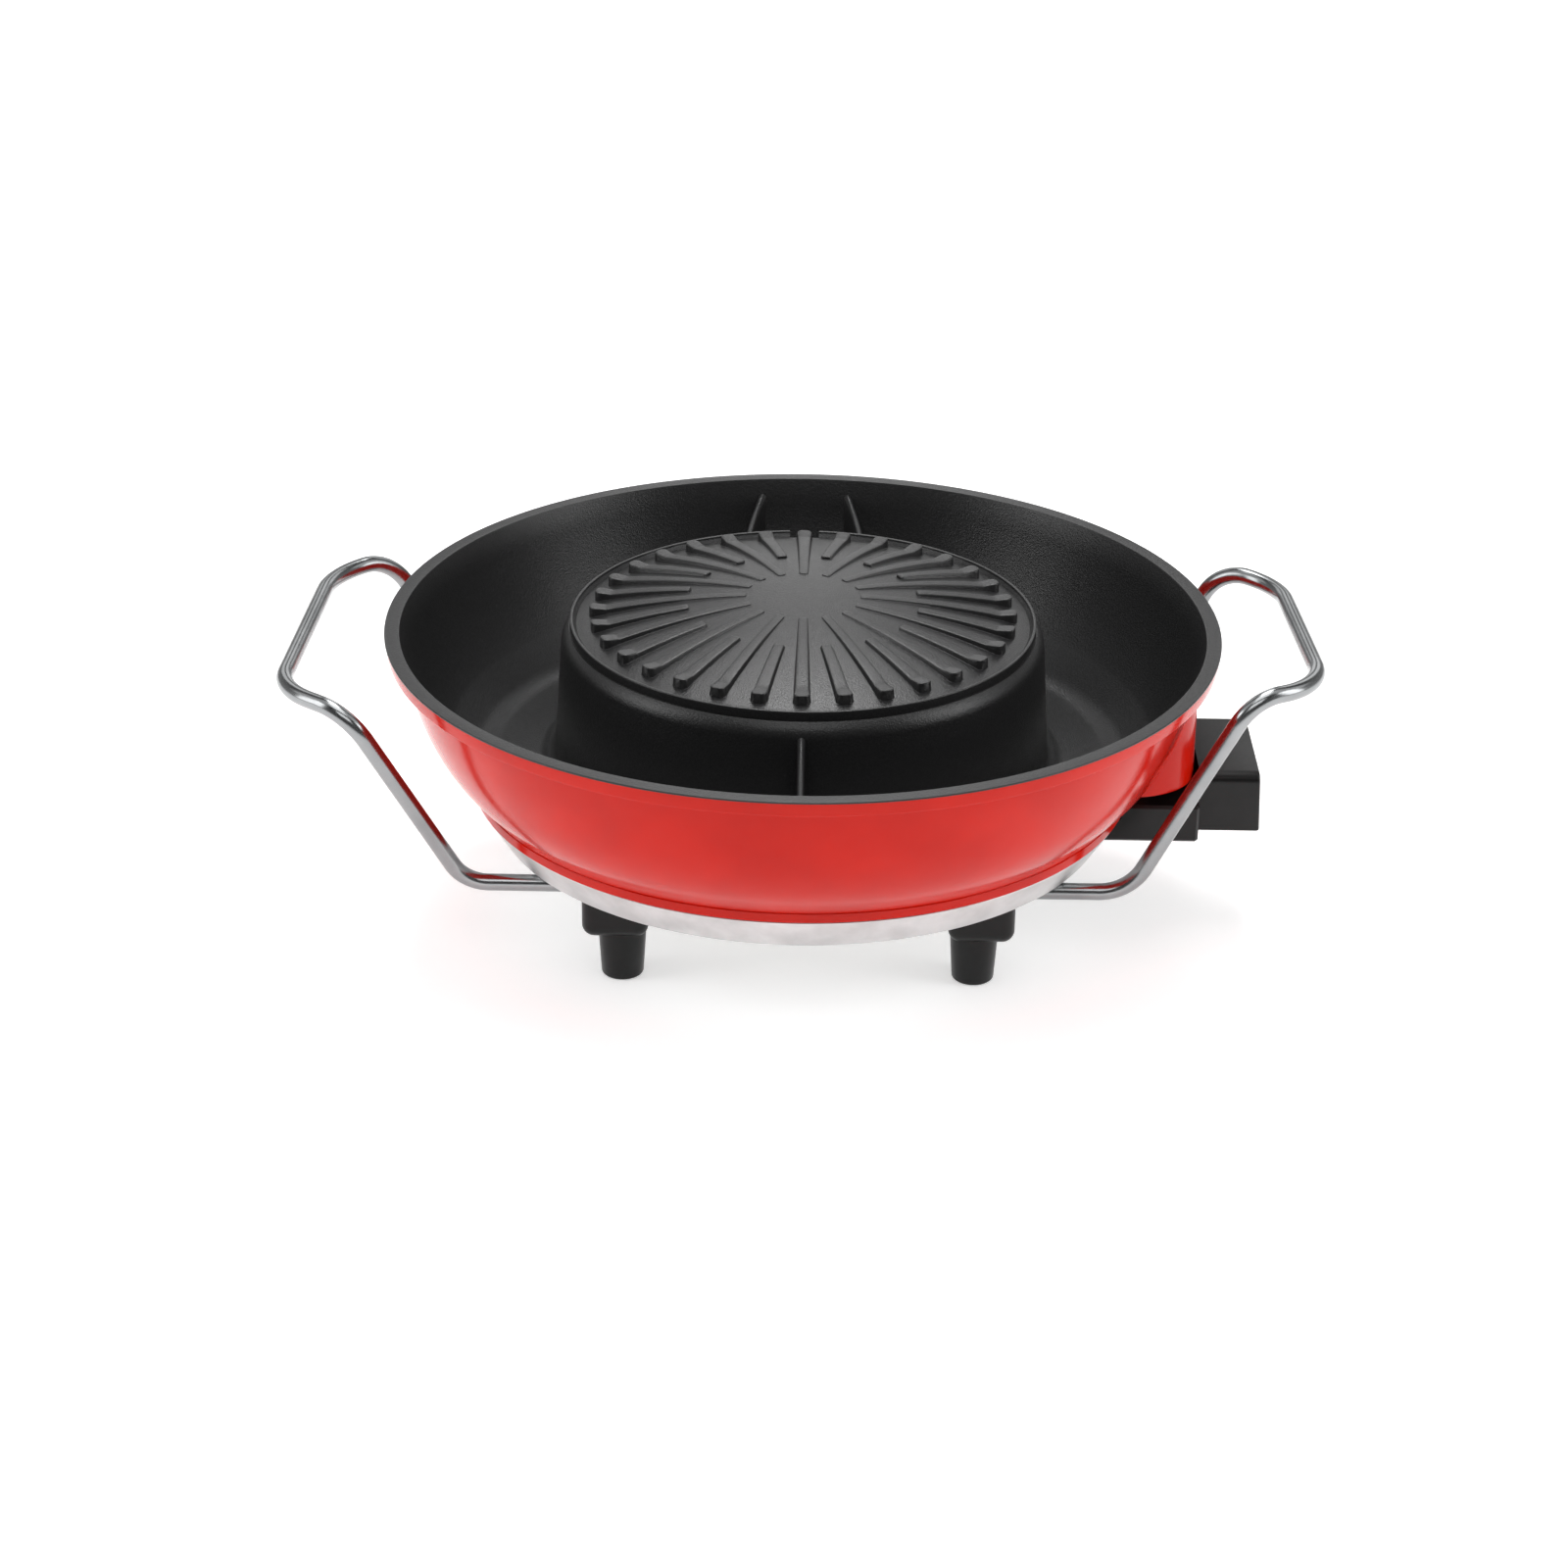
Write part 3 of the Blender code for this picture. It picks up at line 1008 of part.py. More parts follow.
def control_case():
    """The outer cup of the control, open towards the pan, with the dial's pocket in its end."""
    bm = box((CONTROL_START_X, -CONTROL_HALF_WIDTH, HOUSING_BOTTOM),
             (CONTROL_END_X, CONTROL_HALF_WIDTH, CONTROL_TOP))
    rounded = [edge for edge in bm.edges if max(v.co.x for v in edge.verts) > CONTROL_START_X + GAP]
    bmesh.ops.bevel(bm, geom=rounded, offset=CONTROL_ROUND, segments=2, profile=0.5, affect="EDGES")
    case = add_object("control_case", mesh_from(bm, "control_case"), BLACK_PLASTIC)
    wall = CONTROL_WALL
    hollow = box((CONTROL_START_X - OVERRUN, wall - CONTROL_HALF_WIDTH, HOUSING_BOTTOM + wall),
                 (CONTROL_END_X - wall, CONTROL_HALF_WIDTH - wall, CONTROL_TOP - wall))
    combine(case, hollow, "DIFFERENCE")
    floor_x = DIAL_POCKET_FLOOR_X - DIAL_POCKET_WALL
    can = along_x(rod(DIAL_POCKET_RADIUS + DIAL_POCKET_WALL, floor_x, CONTROL_END_X - wall / 2, ROUND_FACETS))
    combine(case, moved(can, (0, 0, DIAL_HEIGHT)), "UNION")
    posts = []
    for y in (-CASE_SCREW_Y, CASE_SCREW_Y):
        post = along_x(rod(CASE_POST_RADIUS, PLATE_BACK_X + GAP, CONTROL_END_X - wall / 2, SMALL_FACETS))
        posts.append(moved(post, (0, y, case_screw_height())))
    combine(case, merged(posts), "UNION")
    dial_pocket = along_x(rod(DIAL_POCKET_RADIUS, DIAL_POCKET_FLOOR_X, CONTROL_END_X + OVERRUN, ROUND_FACETS))
    combine(case, moved(dial_pocket, (0, 0, DIAL_HEIGHT)), "DIFFERENCE")
    holes = [moved(along_x(rod(SHAFT_RADIUS + GAP, floor_x - OVERRUN, DIAL_POCKET_FLOOR_X + OVERRUN,
                               SMALL_FACETS)), (0, 0, DIAL_HEIGHT))]
    for y, radius in ((-FITTING_Y, LENS_RADIUS), (FITTING_Y, BUSHING_RADIUS)):
        hole = along_x(rod(radius + GAP, CONTROL_END_X - wall - OVERRUN, CONTROL_END_X + OVERRUN,
                           SMALL_FACETS))
        holes.append(moved(hole, (0, y, FITTING_HEIGHT)))
    for y in (-CASE_SCREW_Y, CASE_SCREW_Y):
        hole = along_x(rod(CASE_SCREW_RADIUS + GAP, CONTROL_START_X, PLATE_BACK_X + CASE_SCREW_GRIP + GAP,
                           SCREW_FACETS))
        holes.append(moved(hole, (0, y, case_screw_height())))
    combine(case, merged(holes), "DIFFERENCE")


def case_screw_height():
    return CONTROL_TOP - CONTROL_WALL - CASE_POST_RADIUS + GAP


def control_nose():
    """The plate that closes the case, and the plug block that enters the housing's pocket."""
    inset = CONTROL_WALL + GAP
    plate = box((CONTROL_START_X, inset - CONTROL_HALF_WIDTH, HOUSING_BOTTOM + inset),
                (PLATE_BACK_X, CONTROL_HALF_WIDTH - inset, CONTROL_TOP - inset))
    nose = add_object("control_nose", mesh_from(plate, "control_nose"), BLACK_PLASTIC)
    half_width = POCKET_HALF_WIDTH - NOSE_CLEARANCE
    half_height = POCKET_HALF_HEIGHT - NOSE_CLEARANCE
    block = box((NOSE_TIP_X, -half_width, TERMINAL_HEIGHT - half_height),
                (CONTROL_START_X + PLATE_DEPTH / 2, half_width, TERMINAL_HEIGHT + half_height))
    combine(nose, block, "UNION")
    holes = []
    for y in (-TERMINAL_HALF_PITCH, TERMINAL_HALF_PITCH):
        hole = along_x(rod(SOCKET_RADIUS + GAP, NOSE_TIP_X - OVERRUN, SOCKET_END_X + GAP, SMALL_FACETS))
        holes.append(moved(hole, (0, y, TERMINAL_HEIGHT)))
    for y in (-CASE_SCREW_Y, CASE_SCREW_Y):
        sink = along_x(rod(CASE_SCREW_HEAD_RADIUS + GAP, CONTROL_START_X - OVERRUN,
                           CONTROL_START_X + CASE_SCREW_HEAD + GAP, SCREW_FACETS))
        holes.append(moved(sink, (0, y, case_screw_height())))
    combine(nose, merged(holes), "DIFFERENCE")
    probe_hole = rod(PROBE_RADIUS + GAP, NOSE_TIP_X - OVERRUN, PLATE_BACK_X + OVERRUN, SMALL_FACETS)
    deep = [moved(along_x(probe_hole), (0, 0, TERMINAL_HEIGHT))]
    for y in (-CASE_SCREW_Y, CASE_SCREW_Y):
        through = along_x(rod(CASE_SCREW_RADIUS + GAP, CONTROL_START_X + CASE_SCREW_HEAD / 2,
                              PLATE_BACK_X + OVERRUN, SCREW_FACETS))
        deep.append(moved(through, (0, y, case_screw_height())))
    combine(nose, merged(deep), "DIFFERENCE")


def case_screws():
    for side, y in (("front", -CASE_SCREW_Y), ("back", CASE_SCREW_Y)):
        seat = CONTROL_START_X + CASE_SCREW_HEAD
        screw = along_x(headed_screw(CASE_SCREW_RADIUS, CASE_SCREW_HEAD_RADIUS, CASE_SCREW_HEAD,
                                     PLATE_BACK_X + CASE_SCREW_GRIP - seat))
        moved(screw, (seat, y, case_screw_height()))
        add_object(f"case_screw_{side}", mesh_from(screw, "case_screw"), PLATED_STEEL)


def contact_sockets():
    for side, y in (("front", -TERMINAL_HALF_PITCH), ("back", TERMINAL_HALF_PITCH)):
        socket = along_x(tube(SOCKET_RADIUS, SOCKET_BORE_RADIUS, NOSE_TIP_X, SOCKET_END_X, SMALL_FACETS))
        moved(socket, (0, y, TERMINAL_HEIGHT))
        add_object(f"contact_socket_{side}", mesh_from(socket, "contact_socket"), BRASS)


def probe_rod():
    probe = turn_profile([(0, -PROBE_ROOT_X), (PROBE_RADIUS, -PROBE_ROOT_X),
                          (PROBE_RADIUS, -PROBE_TIP_X - PROBE_RADIUS / 2),
                          (PROBE_RADIUS / 2, -PROBE_TIP_X), (0, -PROBE_TIP_X)], SMALL_FACETS)
    turned_about_z(along_x(probe), math.pi)
    add_object("probe_rod", mesh_from(moved(probe, (0, 0, TERMINAL_HEIGHT)), "probe_rod"), PLATED_STEEL)


def dial_axis():
    empty = bpy.data.objects.new("dial_axis", None)
    empty.location = (DIAL_POCKET_FLOOR_X, 0, DIAL_HEIGHT)
    bpy.context.scene.collection.objects.link(empty)
    return empty


def dial_pieces():
    """The knob and its adjusting shaft, both made about the dial's axis."""
    axis = dial_axis()
    disc = along_x(rod(DIAL_RADIUS, DIAL_SINK, DIAL_SINK + DIAL_DISC, ROUND_FACETS))
    knob = add_object("dial_knob", mesh_from(disc, "dial_knob"), BLACK_PLASTIC, axis)
    front = DIAL_POCKET_DEPTH - DIAL_SINK
    half_length, half_width = DIAL_RADIUS - DIAL_GRIP_INSET, DIAL_GRIP_WIDTH / 2
    bar = box((DIAL_SINK + DIAL_DISC / 2, -half_width, -half_length), (front, half_width, half_length))
    combine(knob, bar, "UNION", axis)
    bore = along_x(rod(SHAFT_RADIUS + GAP, -OVERRUN, front - DIAL_DISC, SMALL_FACETS))
    combine(knob, bore, "DIFFERENCE", axis)
    tip = STACK_END_X + GAP - DIAL_POCKET_FLOOR_X
    shaft = along_x(rod(SHAFT_RADIUS, tip, front - DIAL_DISC - GAP, SMALL_FACETS))
    add_object("adjusting_shaft", mesh_from(shaft, "adjusting_shaft"), PLATED_STEEL, axis)


def lamp_and_bushing():
    lens_start = CONTROL_END_X - LENS_LENGTH
    lens = along_x(rod(LENS_RADIUS, lens_start, CONTROL_END_X + GAP, SMALL_FACETS, LENS_RADIUS / 4))
    moved(lens, (0, -FITTING_Y, FITTING_HEIGHT))
    add_object("indicator_lens", mesh_from(lens, "indicator_lens"), AMBER_LENS)
    lamp_end = lens_start - GAP
    lamp = along_x(rod(LAMP_RADIUS, PLATE_BACK_X + GAP, lamp_end, SCREW_FACETS, LAMP_RADIUS / 3))
    moved(lamp, (0, -FITTING_Y, FITTING_HEIGHT))
    add_object("indicator_lamp", mesh_from(lamp, "indicator_lamp"), LAMP_GLASS)
    bushing = along_x(tube(BUSHING_RADIUS, BUSHING_BORE_RADIUS, CONTROL_END_X - BUSHING_LENGTH,
                           CONTROL_END_X + GAP, SMALL_FACETS))
    moved(bushing, (0, FITTING_Y, FITTING_HEIGHT))
    add_object("cord_bushing", mesh_from(bushing, "cord_bushing"), BLACK_PLASTIC)


def switch_stack():
    """Ceramic block, two contact blades and a spacer, stacked along X behind the plate."""
    half = STACK_HALF_WIDTH
    start = PLATE_BACK_X + GAP
    layers = [("switch_block", STACK_BLOCK_DEPTH, STACK_BLOCK_HEIGHT, CERAMIC),
              ("contact_blade_fixed", BLADE_THICKNESS, BLADE_LENGTH, BRASS),
              ("blade_spacer", STACK_SPACER_DEPTH, STACK_SPACER_HEIGHT, CERAMIC),
              ("contact_blade_spring", BLADE_THICKNESS, BLADE_LENGTH, BRASS)]
    for name, depth, height, look in layers:
        layer = box((start, -half, STACK_FOOT_HEIGHT), (start + depth, half, STACK_FOOT_HEIGHT + height))
        add_object(name, mesh_from(layer, name), look)
        start += depth + GAP


def build():
    clear_scene()
    pan_body()
    base_skirt()
    bottom_cover()
    feet()
    handle("left")
    handle("right")
    heating_element()
    heater_clamps()
    terminals()
    terminal_housing()
    housing_screws()
    control_case()
    control_nose()
    case_screws()
    contact_sockets()
    probe_rod()
    dial_pieces()
    lamp_and_bushing()
    switch_stack()


build()
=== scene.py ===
"""Looks for the hot pot with a grill dome: fine meshes, procedural materials, light and camera.

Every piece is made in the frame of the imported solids: metres, +Z up, the front towards -Y.
"""

import math

import bmesh
import bpy
import numpy as np
from mathutils import Matrix, Vector


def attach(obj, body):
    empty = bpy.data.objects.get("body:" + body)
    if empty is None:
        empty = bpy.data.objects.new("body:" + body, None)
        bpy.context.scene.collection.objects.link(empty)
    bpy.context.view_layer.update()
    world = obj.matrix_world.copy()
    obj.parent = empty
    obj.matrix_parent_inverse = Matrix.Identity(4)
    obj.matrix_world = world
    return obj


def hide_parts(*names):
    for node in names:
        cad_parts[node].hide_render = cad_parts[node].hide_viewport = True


# Meshing
SMOOTH_ANGLE = math.radians(38)
PAN_SEGMENTS = 288
ROUND_SEGMENTS = 64
CURVE_STEPS = 28
ARC_STEPS = 6
EDGE_STEPS = 3
LIP_STEPS = 4
PEG_STEPS = 5
CASE_EDGE_STEPS = 4
SOFT_CORNER_STEPS = 8
OVERRUN = 0.002
SKIN = 0.00008
WELD = SKIN / ARC_STEPS

# Pan casting, outside
RIM_RADIUS = 0.187
RIM_HEIGHT = 0.139
RIM_INNER_RADIUS = 0.1803
RIM_LAND = 0.0008
RIM_ROUND = 0.0005
BAND_FOOT = 0.1293
BAND_EDGE = 0.1322
BAND_EDGE_RADIUS = 0.186
BAND_LEDGE = 0.0016
WALL_TOP_RADIUS = 0.1789
WALL_BULGE_RADIUS = 0.172
WALL_BULGE_HEIGHT = 0.0873
WALL_FOOT_RADIUS = 0.147
WALL_THICKNESS = 0.0036
RIM_WALL = 0.0014
FLANGE_RADIUS = 0.1496
FLANGE_TOP = 0.0689
FLANGE_BOTTOM = 0.0646
FLANGE_ROUND = 0.0005
FLANGE_LAND = 0.0005
WALL_FOOT_STEPS = 5
SEAT_RADIUS = 0.1411
STEP_ROUND = 0.0006

# Trough and drum
TROUGH_FLOOR = 0.0735
FLOOR_UNDERSIDE = 0.069
TROUGH_OUTER_RADIUS = 0.144
TROUGH_OUTER_ROUND = 0.016
TROUGH_INNER_ROUND = 0.008
DRUM_FOOT_RADIUS = 0.1123
DRUM_TOP_RADIUS = 0.1085
DRUM_WALL = 0.004
SHOULDER_HEIGHT = 0.1372
SHOULDER_DROP = 0.007
SHOULDER_BEND = 0.0028
SHOULDER_LEAN = 0.0004

# Grill
LIP_RADIUS = 0.1045
LIP_TOP = 0.1416
LIP_THICKNESS = 0.0015
LIP_ROUND = 0.0005
GUTTER_FLOOR = 0.1392
NOTCH_WIDTH = 0.014
NOTCH_DEPTH = 0.0026
PLATE_RADIUS = 0.101
PLATE_RISE = 0.0129
PLATE_THICKNESS = 0.0055
RIB_COUNT = 32
RIB_OUTER_RADIUS = 0.0959
LONG_RIB_START = 0.0255
SHORT_RIB_START = 0.0519
RIB_INNER_WIDTH = 0.0041
RIB_OUTER_WIDTH = 0.0068
RIB_KNOB_WIDTH = 0.0077
RIB_KNOB_LENGTH = 0.0078
RIB_INNER_HEIGHT = 0.0004
RIB_OUTER_HEIGHT = 0.0022
RIB_KNOB_HEIGHT = 0.0046
RIB_STATIONS = 14
RIB_SINK = 0.0008
RIB_DRAFT = 0.18
RIB_LEAN = 0.0003
RIB_EDGE = 0.0005
RIB_END_CORNER = 0.0028
RIB_START_CORNER = 0.0012
RIB_END_SHARES = (1.0, 0.7, 0.45, 0.25, 0.1, 0.02)

# Soup dividers
FIN_THICKNESS = 0.0034
FIN_TOP_DROP = 0.0073
FIN_SAG = 0.004
FIN_ROOT_FLARE = 0.0014
FIN_END_FLARE = 0.0004
FIN_END_SHARE = 0.12
FIN_TAPER_SHARE = 0.12
FIN_ROOT_POWER = 6
FIN_STATIONS = 16
FIN_ROWS = 14
BACK_FIN_OFFSET = 0.0208
BACK_FIN_FLARE = 0.0054
BACK_FIN_BOW = 0.0028

# Shroud over the terminals
SHROUD_RADIUS = 0.178
SHROUD_HALF_WIDTH = 0.046
SHROUD_BOTTOM = 0.0755
SHROUD_CORNER = 0.024
SHROUD_WALL = 0.003
SHROUD_SINK = 0.001
SHROUD_REACH_DEGREES = 27
SHROUD_COLUMNS = 361
SHROUD_ROWS = 80
SHROUD_EDGE_ROUND = 0.001
SHROUD_TURN_IN = SHROUD_EDGE_ROUND * (1 - math.sqrt(0.5))
SOLVE_STEPS = 26

# Base skirt and cover
SKIRT_TOP_RADIUS = 0.1492
SKIRT_TOP = 0.0643
SKIRT_BOTTOM_RADIUS = 0.1389
SKIRT_BOTTOM = 0.0477
SKIRT_WALL = 0.003
SKIRT_CHAMFER = 0.0012
SKIRT_FLANGE_TOP = 0.0499
SKIRT_OPENING_RADIUS = 0.08
SLOT_HALF_WIDTH = 0.03
SLOT_BOTTOM = 0.0558
SLOT_BACK_X = 0.1192
COVER_RADIUS = 0.088
COVER_TOP = 0.0474
COVER_BOTTOM = 0.0462
COVER_BEAD_RADIUS = 0.07
COVER_BEAD = 0.0005
COVER_BEAD_BEND = 0.002

# Feet
FOOT_X = 0.078
FOOT_Y = 0.075
FOOT_HEEL = 0.012
FOOT_LENGTH = 0.0295
FOOT_WIDTH = 0.026
FOOT_TOP = 0.0474
FOOT_SADDLE_BOTTOM = 0.0223
FOOT_ROUND = 0.0056
PEG_TOP_RADIUS = 0.0107
PEG_BOTTOM_RADIUS = 0.0093
PEG_ROUND = 0.0016
FOOT_BORE_RADIUS = 0.0045
FOOT_BORE_DEPTH = 0.012

# Handles
WIRE_RADIUS = 0.00385
WIRE_HEIGHT = 0.0435
WIRE_START_X = 0.0815
HANDLE_LOW_X = {"left": 0.1476, "right": 0.1454}
HANDLE_HIGH_X = 0.1944
HANDLE_GRIP_X = 0.2236
HANDLE_GRIP_SKEW = 0.0034
HANDLE_GRIP_HALF_SPANS = {"left": 0.0645, "right": 0.0565}
HANDLE_TOP_HALF_SPANS = {"left": 0.0899, "right": 0.0746}
HANDLE_TOP_HEIGHTS = {"left": 0.1307, "right": 0.1373}
HANDLE_GRIP_HEIGHTS = {"left": 0.1308, "right": 0.136}
HANDLE_LOW_BENDS = {"left": 0.0179, "right": 0.022}
HANDLE_HIGH_BEND = 0.0208
HANDLE_GRIP_BEND = 0.035
HANDLE_BACK_GRIP_BENDS = {"left": 0.048, "right": 0.035}
HANDLE_CORNER_SHARE = 0.62
CORNER_SHARE = 0.49
WIRE_BEND_STEPS = 18
WIRE_SIDES = 8

# Control case and dial
CASE_START_X = 0.1788
CASE_END_X = 0.207
CASE_HALF_WIDTH = 0.032
CASE_BOTTOM = 0.053
CASE_TOP = 0.0814
CASE_WALL = 0.0022
CASE_ROUND = 0.0012
CASE_TOP_ROUND = 0.0048
CASE_END_DRAFT = 0.0012
DIAL_HEIGHT = 0.0672
DIAL_RADIUS = 0.01125
DIAL_POCKET_RADIUS = 0.01165
DIAL_POCKET_ROUND = PEG_ROUND / 3
DIAL_FLOOR_X = 0.1993
DIAL_SINK = 0.0004
DIAL_DISC = 0.0025
DIAL_GROOVES = 40
DIAL_GROOVE_SHARE = 0.012
DIAL_GRIP_WIDTH = 0.0056
DIAL_GRIP_HALF_LENGTH = 0.0101
DIAL_FRONT = 0.0073
TICK_COUNT = 6
TICK_SWEEP_DEGREES = 270
TICK_RADIUS = 0.0126
TICK_SHORT = 0.0008
TICK_LONG = 0.0016
TICK_WIDTH = 0.0004
TICK_HEIGHT = 0.00018
POINTER_END = 0.0085

# Dial disc: depth from the pocket's floor and share of the dial's radius
DISC_SECTION = ((DIAL_SINK, 0.97), (0.0007, 1.0), (0.0025, 1.0), (DIAL_SINK + DIAL_DISC, 0.955))

# Grip bar: depth from the pocket's floor and how far its outline is drawn in
GRIP_SECTION = ((DIAL_DISC, 0.0), (0.0064, 0.0005), (0.007, 0.0008), (DIAL_FRONT, 0.0014))

# Solids that stay as packed and only get soft edges: node, width and steps
SOFT_EDGES = (
    ("terminal_housing", 0.0009, 3),
    ("control_nose", 0.0004, 2),
    ("cord_bushing", 0.0004, 2),
    ("indicator_lens", 0.0006, 3),
)

# Depth of the fine relief on each surface
ENAMEL_WAVES = 0.0001
COATING_GRAIN = 0.00018
ALUMINIUM_GRAIN = 0.00005
CHROME_GRAIN = 0.00001
PLASTIC_GRAIN = 0.00005
STEEL_GRAIN = 0.00003
CERAMIC_GRAIN = 0.00005

# Camera, from the photograph's own perspective
CAMERA_PLACE = (0.0, -1.4803, 0.7658)
CAMERA_TILT = 0.4461
CAMERA_ROLL = 0.0137
CAMERA_PAN = -0.0051
CAMERA_LENS = 82.19
CAMERA_SENSOR = 36.0

# Floor and lights
FLOOR_SIZE = 40.0
FLOOR_GLOW = 0.45
FLOOR_SINK = 0.0002

# Studio light: name, place, size and power; the side lights stand on both sides
LIGHT_TARGET = (0.0, 0.0, 0.14)
MIDDLE_LIGHTS = (
    ("back_low", (0.0, 2.3, 0.75), (0.5, 0.8), 1.3),
    ("back_middle", (0.0, 1.85, 1.55), (0.5, 1.1), 1.7),
    ("back_high", (0.0, 1.0, 2.15), (0.7, 1.1), 23.0),
    ("overhead", (0.0, -0.1, 2.4), (1.5, 1.5), 18.0),
    ("front", (0.0, -1.7, 1.9), (1.6, 0.9), 9.8),
)
SIDE_LIGHTS = (
    ("back_corner", (0.8, 1.8, 1.2), (0.6, 1.0), 2.0),
    ("side_high", (1.6, 0.1, 2.0), (1.6, 1.8), 6.3),
    ("side_low", (2.0, -0.5, 1.0), (0.9, 1.6), 13.5),
)
RIGHT_SIDE_GAIN = 1.15

# Surroundings: how far forward the walls dim, and their shade at each share of the height
WALL_GLOW = 0.45
FRONT_WALL_GLOW = 0.16
WALL_DIM_START = 0.2
WALL_DIM_END = -0.9
WALL_SHADES = ((0.0, 0.90), (0.35, 0.62), (0.85, 0.03))


def bezier(start, middle, end, steps=CURVE_STEPS):
    """Points of a curve from start to end, drawn towards middle."""
    points = []
    for step in range(steps + 1):
        t = step / steps
        points.append(tuple((1 - t) ** 2 * a + 2 * t * (1 - t) * b + t * t * c
                            for a, b, c in zip(start, middle, end)))
    return points


def rounded(points, radius, steps=ARC_STEPS, share=CORNER_SHARE):
    """Replace the inner corners of a path by arcs; radius is one value or one per point."""
    radii = radius if isinstance(radius, (list, tuple)) else [radius] * len(points)
    path = [tuple(points[0])]
    for index in range(1, len(points) - 1):
        corner = Vector(points[index])
        back = Vector(points[index - 1]) - corner
        ahead = Vector(points[index + 1]) - corner
        half = back.angle(ahead) / 2
        reach = min(radii[index] / math.tan(half), share * back.length, share * ahead.length)
        if reach <= 0:
            path.append(tuple(corner))
            continue
        bend = reach * math.tan(half)
        back.normalize()
        ahead.normalize()
        centre = corner + (back + ahead).normalized() * bend / math.sin(half)
        start = (corner + back * reach - centre).normalized()
        end = (corner + ahead * reach - centre).normalized()
        for step in range(steps + 1):
            path.append(tuple(centre + bend * start.slerp(end, step / steps)))
    path.append(tuple(points[-1]))
    return path


def revolve(points, segments, closed=False):
    """Turn a profile of radius and height about the upright axis."""
    bm = bmesh.new()
    verts = [bm.verts.new((radius, 0, height)) for radius, height in points]
    pairs = list(zip(verts, verts[1:]))
    if closed:
        pairs.append((verts[-1], verts[0]))
    edges = [bm.edges.new(pair) for pair in pairs]
    bmesh.ops.spin(bm, geom=verts + edges, axis=(0, 0, 1), cent=(0, 0, 0), angle=math.tau,
                   steps=segments, use_merge=True)
    bmesh.ops.remove_doubles(bm, verts=bm.verts, dist=WELD)
    bmesh.ops.recalc_face_normals(bm, faces=bm.faces)
    return bm


def loft(rings):
    """A closed solid through rings of points; each ring has the same number of points."""
    bm = bmesh.new()
    rows = [[bm.verts.new(point) for point in ring] for ring in rings]
    count = len(rows[0])
    for near, far in zip(rows, rows[1:]):
        for index in range(count):
            after = (index + 1) % count
            bm.faces.new((near[index], near[after], far[after], far[index]))
    bm.faces.new(rows[0])
    bm.faces.new(rows[-1])
    bmesh.ops.recalc_face_normals(bm, faces=bm.faces)
    return bm


def merged(parts):
    """One mesh that holds all the given ones."""
    whole = bmesh.new()
    for part in parts:
        mesh = bpy.data.meshes.new("part")
        part.to_mesh(mesh)
        part.free()
        whole.from_mesh(mesh)
        bpy.data.meshes.remove(mesh)
    return whole


def box(low, high):
    bm = bmesh.new()
    bmesh.ops.create_cube(bm, size=1.0)
    low, high = Vector(low), Vector(high)
    bmesh.ops.scale(bm, vec=high - low, verts=bm.verts)
    bmesh.ops.translate(bm, vec=(low + high) / 2, verts=bm.verts)
    return bm


def moved(bm, offset):
    bmesh.ops.translate(bm, vec=offset, verts=bm.verts)
    return bm


def turned(bm, angle, axis):
    bmesh.ops.rotate(bm, verts=bm.verts, cent=(0, 0, 0), matrix=Matrix.Rotation(angle, 3, axis))
    return bm


def along_x(bm):
    """Lay a revolved shape down, so that its heights run along +X."""
    return turned(bm, math.pi / 2, "Y")


def make_object(name, bm):
    mesh = bpy.data.meshes.new(name)
    bm.to_mesh(mesh)
    bm.free()
    mesh.shade_smooth()
    mesh.set_sharp_from_angle(angle=SMOOTH_ANGLE)
    obj = bpy.data.objects.new(name, mesh)
    bpy.context.scene.collection.objects.link(obj)
    return obj


def piece(name, bm, materials, body, nodes=()):
    """A finished piece of the object, riding on a body and standing for CAD nodes."""
    obj = make_object(name, bm)
    for material in materials:
        obj.data.materials.append(material)
    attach(obj, body)
    if nodes:
        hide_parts(*nodes)
    return obj


def cut(target, bm, name):
    """Cut a shape out of a finished piece and keep only the result."""
    guide = make_object(name, bm)
    modifier = target.modifiers.new(name, "BOOLEAN")
    modifier.operation = "DIFFERENCE"
    modifier.solver = "EXACT"
    modifier.object = guide
    graph = bpy.context.evaluated_depsgraph_get()
    mesh = bpy.data.meshes.new_from_object(target.evaluated_get(graph))
    target.modifiers.clear()
    old = target.data
    target.data = mesh
    bpy.data.meshes.remove(old)
    bpy.data.objects.remove(guide, do_unlink=True)
    target.data.set_sharp_from_angle(angle=SMOOTH_ANGLE)


